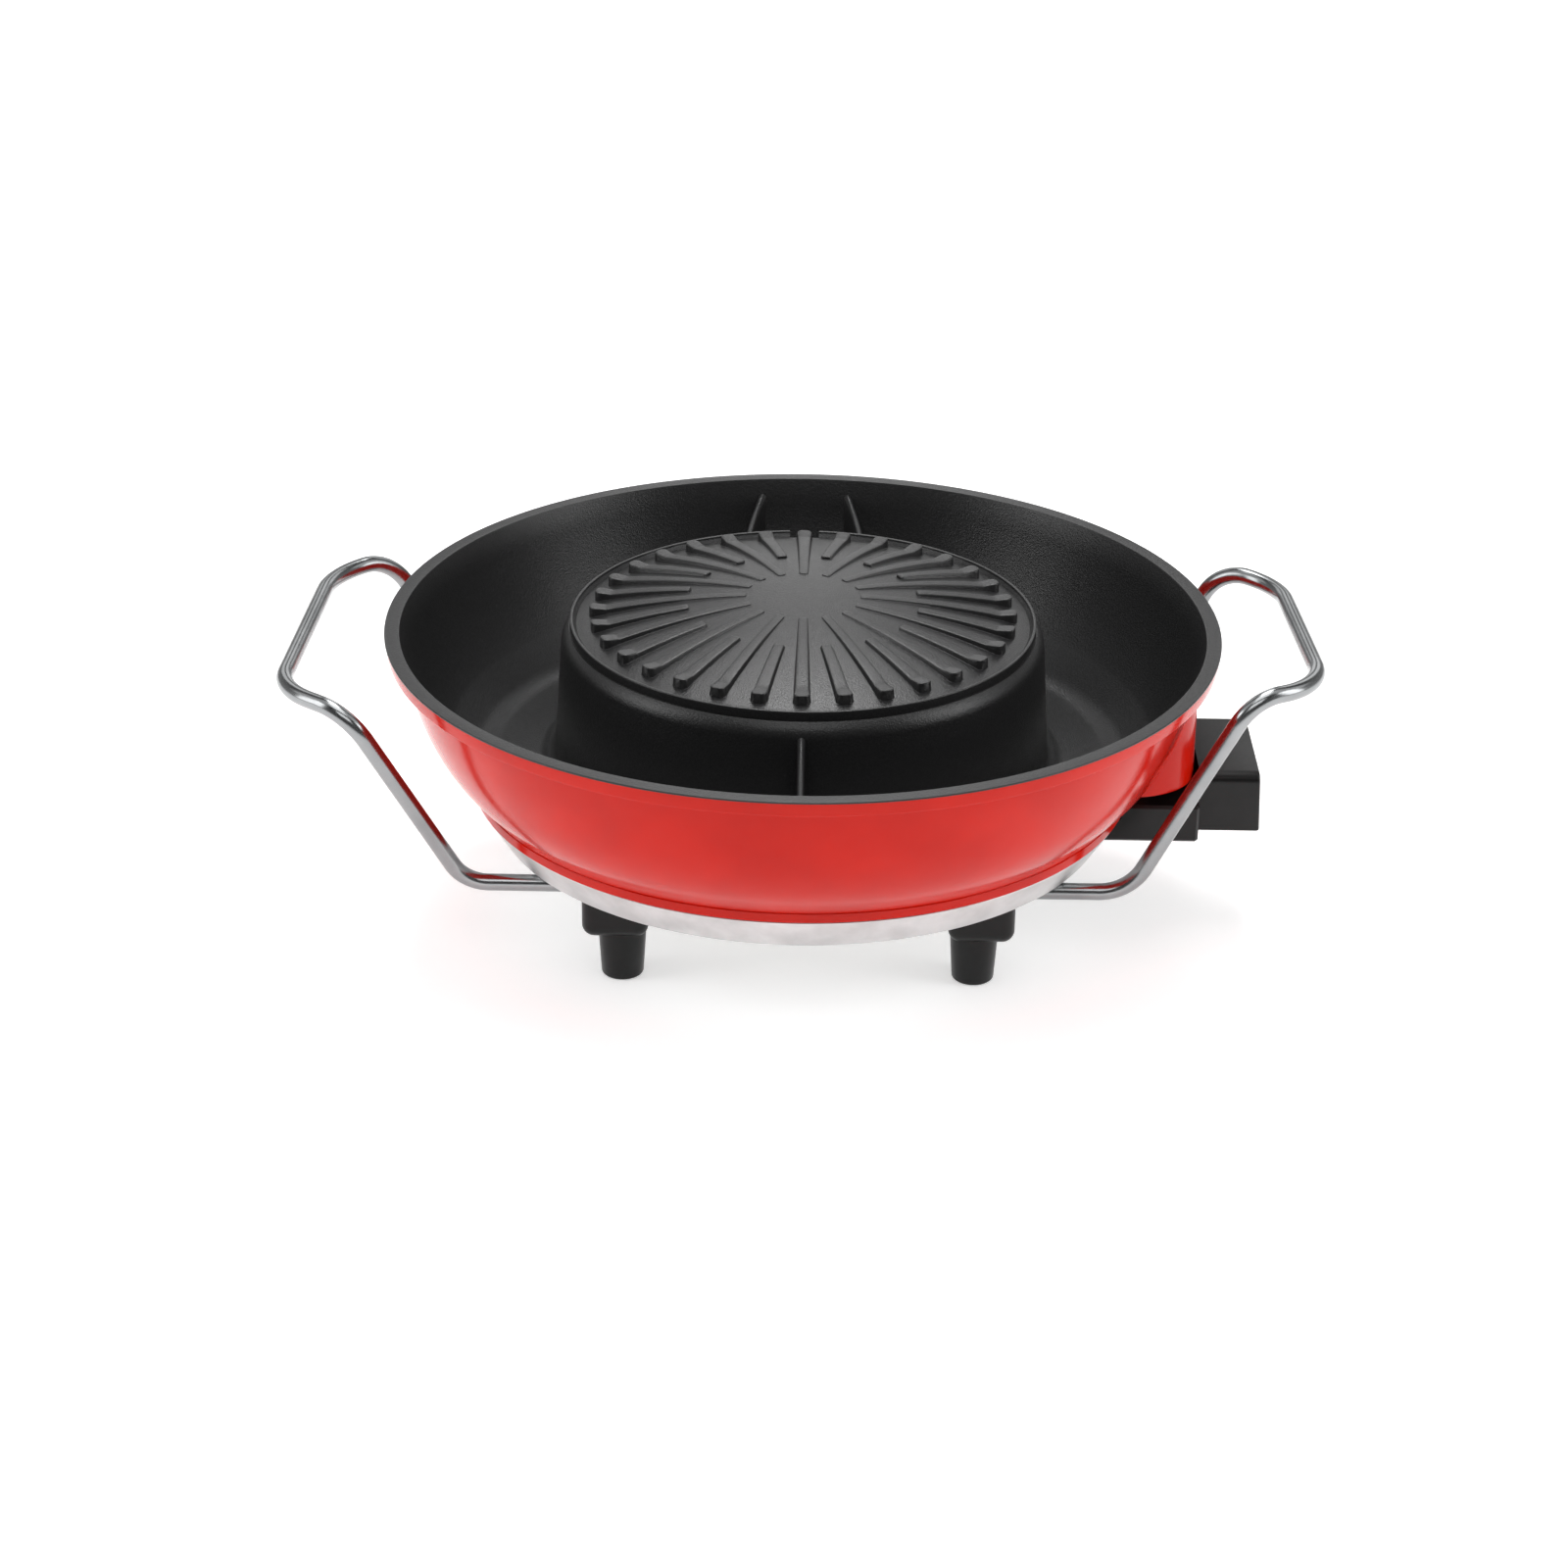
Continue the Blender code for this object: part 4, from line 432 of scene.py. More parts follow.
class Look:
    """A Principled material whose colour, roughness and bump come from nodes."""

    def __init__(self, name, metallic=0.0):
        self.material = bpy.data.materials.new(name)
        self.material.use_nodes = True
        self.nodes = self.material.node_tree.nodes
        self.links = self.material.node_tree.links
        self.shader = self.nodes["Principled BSDF"]
        self.shader.inputs["Metallic"].default_value = metallic
        self.place = self.nodes.new("ShaderNodeTexCoord").outputs["Object"]

    def stretched(self, scale):
        mapping = self.nodes.new("ShaderNodeMapping")
        mapping.inputs["Scale"].default_value = scale
        self.links.new(self.place, mapping.inputs["Vector"])
        return mapping.outputs["Vector"]

    def noise(self, scale, detail=3.0, vector=None):
        node = self.nodes.new("ShaderNodeTexNoise")
        node.inputs["Scale"].default_value = scale
        node.inputs["Detail"].default_value = detail
        self.links.new(vector or self.place, node.inputs["Vector"])
        return node.outputs["Fac"]

    def ramp(self, factor, low, high, start=0.35, end=0.65):
        node = self.nodes.new("ShaderNodeValToRGB")
        node.color_ramp.elements[0].position = start
        node.color_ramp.elements[0].color = (*low, 1.0)
        node.color_ramp.elements[1].position = end
        node.color_ramp.elements[1].color = (*high, 1.0)
        self.links.new(factor, node.inputs["Fac"])
        return node.outputs["Color"]

    def colour(self, factor, low, high, start=0.35, end=0.65):
        self.links.new(self.ramp(factor, low, high, start, end), self.shader.inputs["Base Color"])

    def roughness(self, factor, low, high):
        node = self.nodes.new("ShaderNodeMapRange")
        node.inputs["To Min"].default_value = low
        node.inputs["To Max"].default_value = high
        self.links.new(factor, node.inputs["Value"])
        self.links.new(node.outputs["Result"], self.shader.inputs["Roughness"])

    def bump(self, heights, distance, strength=1.0):
        """Stack several height fields, finest last."""
        normal = None
        for height, share in heights:
            node = self.nodes.new("ShaderNodeBump")
            node.inputs["Distance"].default_value = distance * share
            node.inputs["Strength"].default_value = strength
            self.links.new(height, node.inputs["Height"])
            if normal is not None:
                self.links.new(normal, node.inputs["Normal"])
            normal = node.outputs["Normal"]
        self.links.new(normal, self.shader.inputs["Normal"])


def enamel():
    look = Look("red_enamel")
    look.colour(look.noise(28.0, 2.0), (0.52, 0.008, 0.0018), (0.58, 0.01, 0.0026))
    look.roughness(look.noise(90.0, 2.0), 0.13, 0.19)
    look.shader.inputs["Specular IOR Level"].default_value = 0.20
    look.bump([(look.noise(55.0, 2.0), 1.0), (look.noise(420.0, 2.0), 0.10)], ENAMEL_WAVES, 0.30)
    return look.material


def coating():
    """Dark non-stick coating with a fine orange-peel grain and tiny pale flecks."""
    look = Look("dark_coating")
    look.colour(look.noise(2600.0, 2.0), (0.0095, 0.0095, 0.0097), (0.021, 0.021, 0.0215), 0.40, 0.72)
    look.roughness(look.noise(140.0, 3.0), 0.27, 0.34)
    look.bump([(look.noise(800.0, 3.0), 0.6), (look.noise(1700.0, 2.0), 1.0)], COATING_GRAIN, 0.8)
    return look.material


def bare_aluminium():
    look = Look("bare_aluminium", 1.0)
    look.colour(look.noise(60.0, 3.0), (0.56, 0.56, 0.56), (0.68, 0.68, 0.68))
    look.roughness(look.noise(800.0, 3.0), 0.36, 0.50)
    look.bump([(look.noise(1500.0, 3.0), 1.0)], ALUMINIUM_GRAIN, 0.5)
    return look.material


def chrome():
    """Polished wire with faint marks drawn out along its length."""
    look = Look("polished_wire", 1.0)
    look.colour(look.noise(35.0, 3.0), (0.25, 0.258, 0.262), (0.33, 0.338, 0.344))
    look.roughness(look.noise(400.0, 4.0, look.stretched((1.0, 1.0, 0.2))), 0.17, 0.26)
    look.bump([(look.noise(700.0, 2.0), 1.0)], CHROME_GRAIN, 0.4)
    return look.material


def black_plastic(name="black_moulding", shade=0.0045, rough=(0.28, 0.38)):
    look = Look(name)
    look.colour(look.noise(120.0, 3.0), (shade * 0.8,) * 3, (shade * 1.25,) * 3)
    look.roughness(look.noise(600.0, 3.0), *rough)
    look.shader.inputs["Specular IOR Level"].default_value = 0.28
    look.bump([(look.noise(1300.0, 2.0), 1.0)], PLASTIC_GRAIN, 0.4)
    return look.material


def plated_steel(name, low=(0.50, 0.50, 0.48), high=(0.62, 0.62, 0.60), rough=(0.22, 0.38)):
    look = Look(name, 1.0)
    look.colour(look.noise(150.0, 3.0), low, high)
    look.roughness(look.noise(500.0, 3.0), *rough)
    look.bump([(look.noise(900.0, 2.0), 1.0)], STEEL_GRAIN, 0.4)
    return look.material


def ceramic():
    look = Look("white_ceramic")
    look.colour(look.noise(300.0, 3.0), (0.66, 0.64, 0.58), (0.80, 0.78, 0.72))
    look.roughness(look.noise(500.0, 2.0), 0.5, 0.7)
    look.bump([(look.noise(1500.0, 2.0), 1.0)], CERAMIC_GRAIN, 0.5)
    return look.material


def lens_amber():
    look = Look("amber_lens")
    look.colour(look.noise(200.0, 2.0), (0.62, 0.20, 0.02), (0.75, 0.28, 0.04))
    look.roughness(look.noise(300.0, 2.0), 0.06, 0.14)
    look.shader.inputs["Transmission Weight"].default_value = 0.6
    return look.material


def lamp_glass():
    look = Look("lamp_glass")
    look.colour(look.noise(200.0, 2.0), (0.80, 0.76, 0.70), (0.90, 0.87, 0.82))
    look.roughness(look.noise(300.0, 2.0), 0.04, 0.10)
    look.shader.inputs["Transmission Weight"].default_value = 0.8
    return look.material


def white_print():
    look = Look("dial_print")
    look.colour(look.noise(400.0, 2.0), (0.70, 0.70, 0.68), (0.80, 0.80, 0.78))
    look.roughness(look.noise(500.0, 2.0), 0.4, 0.55)
    return look.material


def plate_height(radius):
    """The grill's low dome."""
    return GUTTER_FLOOR + PLATE_RISE * (1 - (min(radius, PLATE_RADIUS) / PLATE_RADIUS) ** 2)


def outer_wall():
    """The bowl's outside, from under the band down to the flange."""
    return bezier((WALL_TOP_RADIUS, BAND_FOOT), (WALL_BULGE_RADIUS, WALL_BULGE_HEIGHT),
                  (WALL_FOOT_RADIUS, FLANGE_TOP))


def inner_wall():
    """From the trough floor up to the foot of the rim's lead-in."""
    return bezier((TROUGH_OUTER_RADIUS, TROUGH_FLOOR),
                  (WALL_BULGE_RADIUS - WALL_THICKNESS, WALL_BULGE_HEIGHT + WALL_THICKNESS),
                  (WALL_TOP_RADIUS - RIM_WALL, BAND_FOOT))


def drum_radius(height):
    share = (height - TROUGH_FLOOR) / (SHOULDER_HEIGHT - SHOULDER_DROP - TROUGH_FLOOR)
    return DRUM_FOOT_RADIUS + share * (DRUM_TOP_RADIUS - DRUM_FOOT_RADIUS)


def coated_side():
    """Profile of the coated side, from the grill's centre out over the rim's edge."""
    plate = [(PLATE_RADIUS * step / CURVE_STEPS, plate_height(PLATE_RADIUS * step / CURVE_STEPS))
             for step in range(CURVE_STEPS)]
    ledge = LIP_RADIUS - SKIN
    edge = [(PLATE_RADIUS, GUTTER_FLOOR), (ledge, GUTTER_FLOOR), (ledge, SHOULDER_HEIGHT)]
    shoulder = bezier((LIP_RADIUS + LIP_ROUND, SHOULDER_HEIGHT),
                      (DRUM_TOP_RADIUS - SHOULDER_LEAN, SHOULDER_HEIGHT - SHOULDER_BEND),
                      (DRUM_TOP_RADIUS, SHOULDER_HEIGHT - SHOULDER_DROP), ARC_STEPS * 3)
    wall = inner_wall()
    floor = rounded([shoulder[-1], (DRUM_FOOT_RADIUS, TROUGH_FLOOR),
                     (TROUGH_OUTER_RADIUS, TROUGH_FLOOR), wall[CURVE_STEPS // 3]],
                    [0.0, TROUGH_INNER_ROUND, TROUGH_OUTER_ROUND, 0.0], ARC_STEPS * 2)
    rim = rounded([wall[-1], (RIM_INNER_RADIUS, RIM_HEIGHT), (RIM_RADIUS, RIM_HEIGHT),
                   (RIM_RADIUS, RIM_HEIGHT - RIM_LAND)], [0.0, RIM_ROUND, RIM_ROUND, 0.0])
    return plate + edge + shoulder + floor[1:-1] + wall[CURVE_STEPS // 3:-1] + rim


def enamelled_side():
    """Profile of the painted outside, from the rim's edge down to the flange."""
    wall = outer_wall()
    rim = rounded([(RIM_RADIUS, RIM_HEIGHT - RIM_LAND), (BAND_EDGE_RADIUS, BAND_EDGE),
                   (WALL_TOP_RADIUS, BAND_EDGE - BAND_LEDGE), wall[1]],
                  [0.0, STEP_ROUND, STEP_ROUND, 0.0])
    flange = rounded([wall[-WALL_FOOT_STEPS], (FLANGE_RADIUS - FLANGE_LAND, FLANGE_TOP),
                      (FLANGE_RADIUS, FLANGE_TOP), (FLANGE_RADIUS, FLANGE_BOTTOM),
                      (SEAT_RADIUS, FLANGE_BOTTOM)],
                     [0.0, STEP_ROUND, FLANGE_ROUND, FLANGE_ROUND, 0.0])
    return rim[1:-1] + wall[1:-WALL_FOOT_STEPS] + flange


def underside():
    """Profile of the bare metal, from the skirt's seat in to the grill's centre."""
    seat_rise = FLOOR_UNDERSIDE - FLANGE_BOTTOM
    points = [(SEAT_RADIUS - seat_rise, FLOOR_UNDERSIDE),
              (DRUM_FOOT_RADIUS - DRUM_WALL, FLOOR_UNDERSIDE),
              (DRUM_TOP_RADIUS - DRUM_WALL, GUTTER_FLOOR - 2 * PLATE_THICKNESS)]
    steps = CURVE_STEPS // 2
    for step in range(steps, -1, -1):
        radius = PLATE_RADIUS * step / steps
        points.append((radius, plate_height(radius) - PLATE_THICKNESS))
    return points


def casting(coat, paint, bare):
    """The pan's one casting: coated inside, painted outside and bare underneath."""
    top, side, below = coated_side(), enamelled_side(), underside()
    parts = []
    for index, profile in enumerate((top, [top[-1]] + side, [side[-1]] + below)):
        part = revolve(profile, PAN_SEGMENTS)
        for face in part.faces:
            face.material_index = index
        parts.append(part)
    bm = merged(parts)
    bmesh.ops.remove_doubles(bm, verts=bm.verts, dist=WELD)
    bmesh.ops.recalc_face_normals(bm, faces=bm.faces)
    obj = piece("pan_casting", bm, [coat, paint, bare], "pan", ["pan_body"])
    notch = box((-NOTCH_WIDTH / 2, PLATE_RADIUS - LIP_ROUND, GUTTER_FLOOR - NOTCH_DEPTH),
                (NOTCH_WIDTH / 2, DRUM_FOOT_RADIUS, RIM_HEIGHT + LIP_THICKNESS))
    cut(obj, notch, "notch_cutter")


def lip(coat):
    """The raised lip round the gutter, open at the notch in the back."""
    inner = LIP_RADIUS - LIP_THICKNESS
    root = GUTTER_FLOOR - LIP_THICKNESS
    section = rounded([(inner - LIP_THICKNESS, root), (inner - LIP_THICKNESS, GUTTER_FLOOR),
                       (inner, GUTTER_FLOOR + LIP_THICKNESS), (inner, LIP_TOP), (LIP_RADIUS, LIP_TOP),
                       (LIP_RADIUS, root)],
                      [0.0, LIP_ROUND, LIP_ROUND * 2, LIP_ROUND, LIP_ROUND, 0.0], LIP_STEPS)
    half_gap = NOTCH_WIDTH / 2 / LIP_RADIUS
    rings = []
    for step in range(PAN_SEGMENTS + 1):
        angle = math.pi / 2 + half_gap + (math.tau - 2 * half_gap) * step / PAN_SEGMENTS
        rings.append([(radius * math.cos(angle), radius * math.sin(angle), height)
                      for radius, height in section])
    piece("grill_lip", loft(rings), [coat], "pan")


def rib_section(radius, half_width, height, height_share=1.0):
    """Across a rib: a soft foot, a drafted side, a rounded edge and a slightly crowned top."""
    base = plate_height(radius)
    height = height * height_share
    lean = min(height * RIB_DRAFT, half_width * CORNER_SHARE, RIB_LEAN)
    edge = min(RIB_EDGE, height * CORNER_SHARE, (half_width - lean) * CORNER_SHARE)
    top = half_width - lean
    arc = [(top - edge + edge * math.cos(turn), height - edge + edge * math.sin(turn))
           for turn in (0.0, math.pi / 6, math.pi / 3, math.pi / 2)]
    side = [(half_width + lean, -RIB_SINK), (half_width + lean, 0.0), (half_width + lean / 3, lean / 3)]
    side += arc + [(top * CORNER_SHARE, height + SKIN / 2)]
    right = [(radius, -y, base + z) for y, z in side]
    left = [(radius, y, base + z) for y, z in reversed(side)]
    return right + left


def corner_share(share):
    """Width left at a share of the way in from an end with a quarter-round corner."""
    return math.sqrt(max(1 - (1 - share) ** 2, 0.0))


def rib(angle, start):
    """A rib that swells from the smooth centre and ends level, with a steep rounded end."""
    knob_start = RIB_OUTER_RADIUS - RIB_KNOB_LENGTH
    span = knob_start - LONG_RIB_START

    def body(radius):
        share = (radius - LONG_RIB_START) / span
        width = RIB_INNER_WIDTH + share * (RIB_OUTER_WIDTH - RIB_INNER_WIDTH)
        return width / 2, RIB_INNER_HEIGHT + share * (RIB_OUTER_HEIGHT - RIB_INNER_HEIGHT)

    def knob(radius):
        share = (radius - knob_start) / RIB_KNOB_LENGTH
        swell = share * share * (3 - 2 * share)
        width = RIB_OUTER_WIDTH + swell * (RIB_KNOB_WIDTH - RIB_OUTER_WIDTH)
        return width / 2, RIB_OUTER_HEIGHT + share * (RIB_KNOB_HEIGHT - RIB_OUTER_HEIGHT)

    rings = []
    for share in reversed(RIB_END_SHARES):
        radius = start + share * RIB_START_CORNER
        half, height = body(radius)
        narrow = half - RIB_START_CORNER * (1 - corner_share(share))
        height_share = CORNER_SHARE + (1 - CORNER_SHARE) * corner_share(share)
        rings.append(rib_section(radius, narrow, height, height_share))
    first = start + RIB_START_CORNER
    for step in range(1, RIB_STATIONS + 1):
        radius = first + (knob_start - first) * step / RIB_STATIONS
        rings.append(rib_section(radius, *body(radius)))
    corner_start = RIB_OUTER_RADIUS - RIB_END_CORNER
    for step in range(1, ARC_STEPS):
        radius = knob_start + (corner_start - knob_start) * step / ARC_STEPS
        rings.append(rib_section(radius, *knob(radius)))
    for share in RIB_END_SHARES:
        radius = RIB_OUTER_RADIUS - share * RIB_END_CORNER
        half, height = knob(radius)
        narrow = half - RIB_END_CORNER * (1 - corner_share(share))
        round_off = RIB_EDGE * (1 - corner_share(min(share * RIB_END_CORNER / RIB_EDGE, 1.0)))
        rings.append(rib_section(radius, narrow, height - round_off))
    return turned(loft(rings), angle, "Z")


def ribs(coat):
    """Long and short ribs in turn, the first one pointing to the front."""
    parts = []
    for index in range(RIB_COUNT):
        start = LONG_RIB_START if index % 2 == 0 else SHORT_RIB_START
        parts.append(rib(-math.pi / 2 + math.tau * index / RIB_COUNT, start))
    piece("grill_ribs", merged(parts), [coat], "pan")


def inner_wall_radius(height):
    wall = np.array(inner_wall())
    return float(np.interp(height, wall[:, 1], wall[:, 0]))


def divider(name, coat, start, end, bow=0.0):
    """A thin wall from the drum to the bowl, with a sagging round crest and flared roots."""
    start, end = Vector((*start, 0)), Vector((*end, 0))
    across = (end - start).normalized()
    side = Vector((-across.y, across.x, 0))
    rings = []
    for step in range(FIN_STATIONS + 1):
        share = step / FIN_STATIONS
        crest = RIM_HEIGHT - FIN_TOP_DROP - FIN_SAG * 4 * share * (1 - share)
        from_end = min(share, 1 - share, FIN_END_SHARE) / FIN_END_SHARE
        edge = 1 - math.cos(math.pi / 2 * from_end)
        near, far = [], []
        for row in range(FIN_ROWS + 1):
            up = row / FIN_ROWS
            height = TROUGH_FLOOR - FIN_THICKNESS / 2 + up * (crest - TROUGH_FLOOR)
            inner = start + across * (drum_radius(height) - start.length - DRUM_WALL / 2)
            outer = end + across * (inner_wall_radius(height) - end.length + RIM_WALL / 2)
            middle = inner.lerp(outer, share) + Vector((bow * 4 * share * (1 - share), 0, 0))
            flare = FIN_ROOT_FLARE * (1 - up) ** FIN_ROOT_POWER + FIN_END_FLARE * (1 - edge) ** 2
            half = FIN_THICKNESS / 2 * (1 + FIN_TAPER_SHARE * (1 - 2 * up)) + flare
            near.append(middle + side * half + Vector((0, 0, height)))
            far.append(middle - side * half + Vector((0, 0, height)))
        half = (near[-1] - far[-1]).length / 2
        centre = (near[-1] + far[-1]) / 2
        cap = []
        for turn in range(1, ARC_STEPS):
            angle = math.pi * turn / ARC_STEPS
            cap.append(centre + side * half * math.cos(angle) + Vector((0, 0, half * math.sin(angle))))
        rings.append([tuple(point) for point in near + cap + far[::-1]])
    piece(name, loft(rings), [coat], "pan")


def dividers(coat):
    """One soup divider in front and a bowed pair at the back."""
    drum = DRUM_TOP_RADIUS - DRUM_WALL
    inner_x = BACK_FIN_OFFSET + BACK_FIN_FLARE
    divider("divider_front", coat, (0, -drum), (0, -RIM_INNER_RADIUS))
    for side, sign in (("left", -1), ("right", 1)):
        divider(f"divider_back_{side}", coat, (sign * inner_x, drum),
                (sign * BACK_FIN_OFFSET, RIM_INNER_RADIUS), sign * BACK_FIN_BOW)


def shroud_distance(x, y, inset):
    """Signed distance in plan to the shroud: an arc about the pan's axis between rounded corners."""
    radius, half, corner = SHROUD_RADIUS - inset, SHROUD_HALF_WIDTH - inset, SHROUD_CORNER - inset
    arc = np.hypot(x, y) - (radius - corner)
    flat = np.abs(y) - (half - corner)
    both = np.hypot(np.maximum(arc, 0), np.maximum(flat, 0))
    return both + np.minimum(np.maximum(arc, flat), 0) - corner


def solved_radius(angles, height, inset):
    """Where each ray from the pan's axis meets the shroud, or else just under the bowl's surface."""
    wall = np.array(outer_wall())[::-1]
    buried = np.interp(height, wall[:, 1], wall[:, 0]) - SHROUD_SINK
    low = np.full_like(angles, WALL_FOOT_RADIUS - OVERRUN)
    high = np.full_like(angles, RIM_RADIUS)
    for _ in range(SOLVE_STEPS):
        middle = (low + high) / 2
        outside = shroud_distance(middle * np.cos(angles), middle * np.sin(angles), inset) > 0
        low = np.where(outside, low, middle)
        high = np.where(outside, middle, high)
    return np.maximum((low + high) / 2, buried)


def shroud(paint):
    """The shroud stands on the bowl's side and is open underneath; its back is sunk in the bowl."""
    reach = math.radians(SHROUD_REACH_DEGREES)
    angles = np.linspace(-reach, reach, SHROUD_COLUMNS)
    rows = np.linspace(SHROUD_BOTTOM + SHROUD_EDGE_ROUND, BAND_FOOT, SHROUD_ROWS)

    def ring(height, inset, sunk=0.0):
        radii = solved_radius(angles, height, inset) - sunk
        return [(r * math.cos(a), r * math.sin(a), height) for r, a in zip(radii, angles)]

    inside = [ring(height, SHROUD_WALL, SKIN) for height in rows[::-1]]
    lower_edge = [ring(SHROUD_BOTTOM, SHROUD_WALL, SKIN), ring(SHROUD_BOTTOM, SHROUD_EDGE_ROUND),
                  ring(SHROUD_BOTTOM + SHROUD_TURN_IN, SHROUD_TURN_IN)]
    outside = [ring(height, 0.0) for height in rows]
    columns = list(zip(*(inside + lower_edge + outside)))
    piece("terminal_shroud", loft(columns), [paint], "pan")


def skirt(metal):
    """The bare base ring under the flange, cut open for the terminal housing."""
    inner_top = SKIRT_TOP_RADIUS - SKIRT_WALL
    inner_bottom = SKIRT_BOTTOM_RADIUS - SKIRT_WALL
    outline = [(inner_top, SKIRT_TOP), (SKIRT_TOP_RADIUS, SKIRT_TOP),
               (SKIRT_BOTTOM_RADIUS + SKIRT_CHAMFER / 2, SKIRT_BOTTOM + SKIRT_CHAMFER),
               (SKIRT_BOTTOM_RADIUS - SKIRT_CHAMFER, SKIRT_BOTTOM), (SKIRT_OPENING_RADIUS, SKIRT_BOTTOM),
               (SKIRT_OPENING_RADIUS, SKIRT_FLANGE_TOP), (inner_bottom, SKIRT_FLANGE_TOP),
               (inner_top, SKIRT_TOP)]
    profile = rounded(outline, SKIRT_CHAMFER / 4, EDGE_STEPS)
    obj = piece("skirt_ring", revolve(profile[:-1], PAN_SEGMENTS, closed=True), [metal], "pan",
                ["base_skirt"])
    cut(obj, box((SLOT_BACK_X, -SLOT_HALF_WIDTH, SLOT_BOTTOM),
                 (SKIRT_TOP_RADIUS + OVERRUN, SLOT_HALF_WIDTH, SKIRT_TOP + OVERRUN)), "slot_cutter")


def cover(metal):
    """The plate under the base, with a shallow bead pressed in it."""
    bead_top = COVER_BOTTOM + COVER_BEAD
    outline = [(0, COVER_TOP), (COVER_RADIUS, COVER_TOP), (COVER_RADIUS, COVER_BOTTOM),
               (COVER_BEAD_RADIUS + 2 * COVER_BEAD_BEND, COVER_BOTTOM),
               (COVER_BEAD_RADIUS + COVER_BEAD_BEND, bead_top),
               (COVER_BEAD_RADIUS - COVER_BEAD_BEND, bead_top),
               (COVER_BEAD_RADIUS - 2 * COVER_BEAD_BEND, COVER_BOTTOM), (0, COVER_BOTTOM)]
    edge_round = (COVER_TOP - COVER_BOTTOM) / 4
    rounds = [0, edge_round, edge_round] + [COVER_BEAD_BEND] * 4 + [0]
    profile = rounded(outline, rounds, EDGE_STEPS)
    piece("cover_plate", revolve(profile, PAN_SEGMENTS), [metal], "pan", ["bottom_cover"])


def foot(name, side_x, side_y, plastic):
    """A soft-edged saddle over the wire's end, with a tapered round peg below it."""
    heel = FOOT_X - FOOT_HEEL
    half = FOOT_WIDTH / 2
    bm = box((heel, FOOT_Y - half, FOOT_SADDLE_BOTTOM), (heel + FOOT_LENGTH, FOOT_Y + half, FOOT_TOP))
    edges = [edge for edge in bm.edges if min(v.co.z for v in edge.verts) < FOOT_TOP - SKIN]
    bmesh.ops.bevel(bm, geom=edges, offset=FOOT_ROUND, segments=SOFT_CORNER_STEPS, profile=0.5,
                    affect="EDGES")
    bmesh.ops.scale(bm, vec=(side_x, side_y, 1), verts=bm.verts)
    bmesh.ops.recalc_face_normals(bm, faces=bm.faces)
    x, y = side_x * FOOT_X, side_y * FOOT_Y
    neck = FOOT_SADDLE_BOTTOM + FOOT_ROUND
    outline = [(0, neck), (PEG_TOP_RADIUS, neck), (PEG_TOP_RADIUS, FOOT_SADDLE_BOTTOM),
               (PEG_BOTTOM_RADIUS, 0), (FOOT_BORE_RADIUS, 0), (FOOT_BORE_RADIUS, FOOT_BORE_DEPTH),
               (0, FOOT_BORE_DEPTH)]
    profile = rounded(outline, [0, 0, 0, PEG_ROUND, PEG_ROUND / 4, PEG_ROUND / 4, 0], PEG_STEPS)
    peg = moved(revolve(profile, ROUND_SEGMENTS), (x, y, 0))
    piece(f"{name}_saddle", bm, [plastic], "pan", [name])
    piece(f"{name}_peg", peg, [plastic], "pan")


def feet(plastic):
    for front, side_y in (("front", -1), ("back", 1)):
        for side, side_x in (("left", -1), ("right", 1)):
            foot(f"foot_{front}_{side}", side_x, side_y, plastic)


def handle(side, metal):
    """A bent wire from foot to foot; its grip runs slightly out of square, as in the photograph."""
    sign = -1 if side == "left" else 1
    leg = [(WIRE_START_X, -FOOT_Y, WIRE_HEIGHT), (HANDLE_LOW_X[side], -FOOT_Y, WIRE_HEIGHT),
           (HANDLE_HIGH_X, -HANDLE_TOP_HALF_SPANS[side], HANDLE_TOP_HEIGHTS[side])]
    grip, half_span = HANDLE_GRIP_HEIGHTS[side], HANDLE_GRIP_HALF_SPANS[side]
    corners = leg + [(HANDLE_GRIP_X + HANDLE_GRIP_SKEW, -half_span, grip),
                     (HANDLE_GRIP_X - HANDLE_GRIP_SKEW, half_span, grip)]
    corners += [(x, -y, z) for x, y, z in reversed(leg)]
    corners = [(sign * x, y, z) for x, y, z in corners]
    bends = [0.0, HANDLE_LOW_BENDS[side], HANDLE_HIGH_BEND]
    bends += [HANDLE_GRIP_BEND, HANDLE_BACK_GRIP_BENDS[side]] + bends[::-1]
    path = rounded(corners, bends, WIRE_BEND_STEPS, HANDLE_CORNER_SHARE)
    curve = bpy.data.curves.new(f"wire_handle_{side}", "CURVE")
    curve.dimensions = "3D"
    curve.bevel_depth = WIRE_RADIUS
    curve.bevel_resolution = WIRE_SIDES
    curve.use_fill_caps = True
    spline = curve.splines.new("POLY")
    spline.points.add(len(path) - 1)
    for point, place in zip(spline.points, path):
        point.co = (*place, 1.0)
    spline.use_smooth = True
    curve.materials.append(metal)
    obj = bpy.data.objects.new(f"wire_handle_{side}", curve)
    bpy.context.scene.collection.objects.link(obj)
    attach(obj, "pan")
    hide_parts(f"handle_{side}")


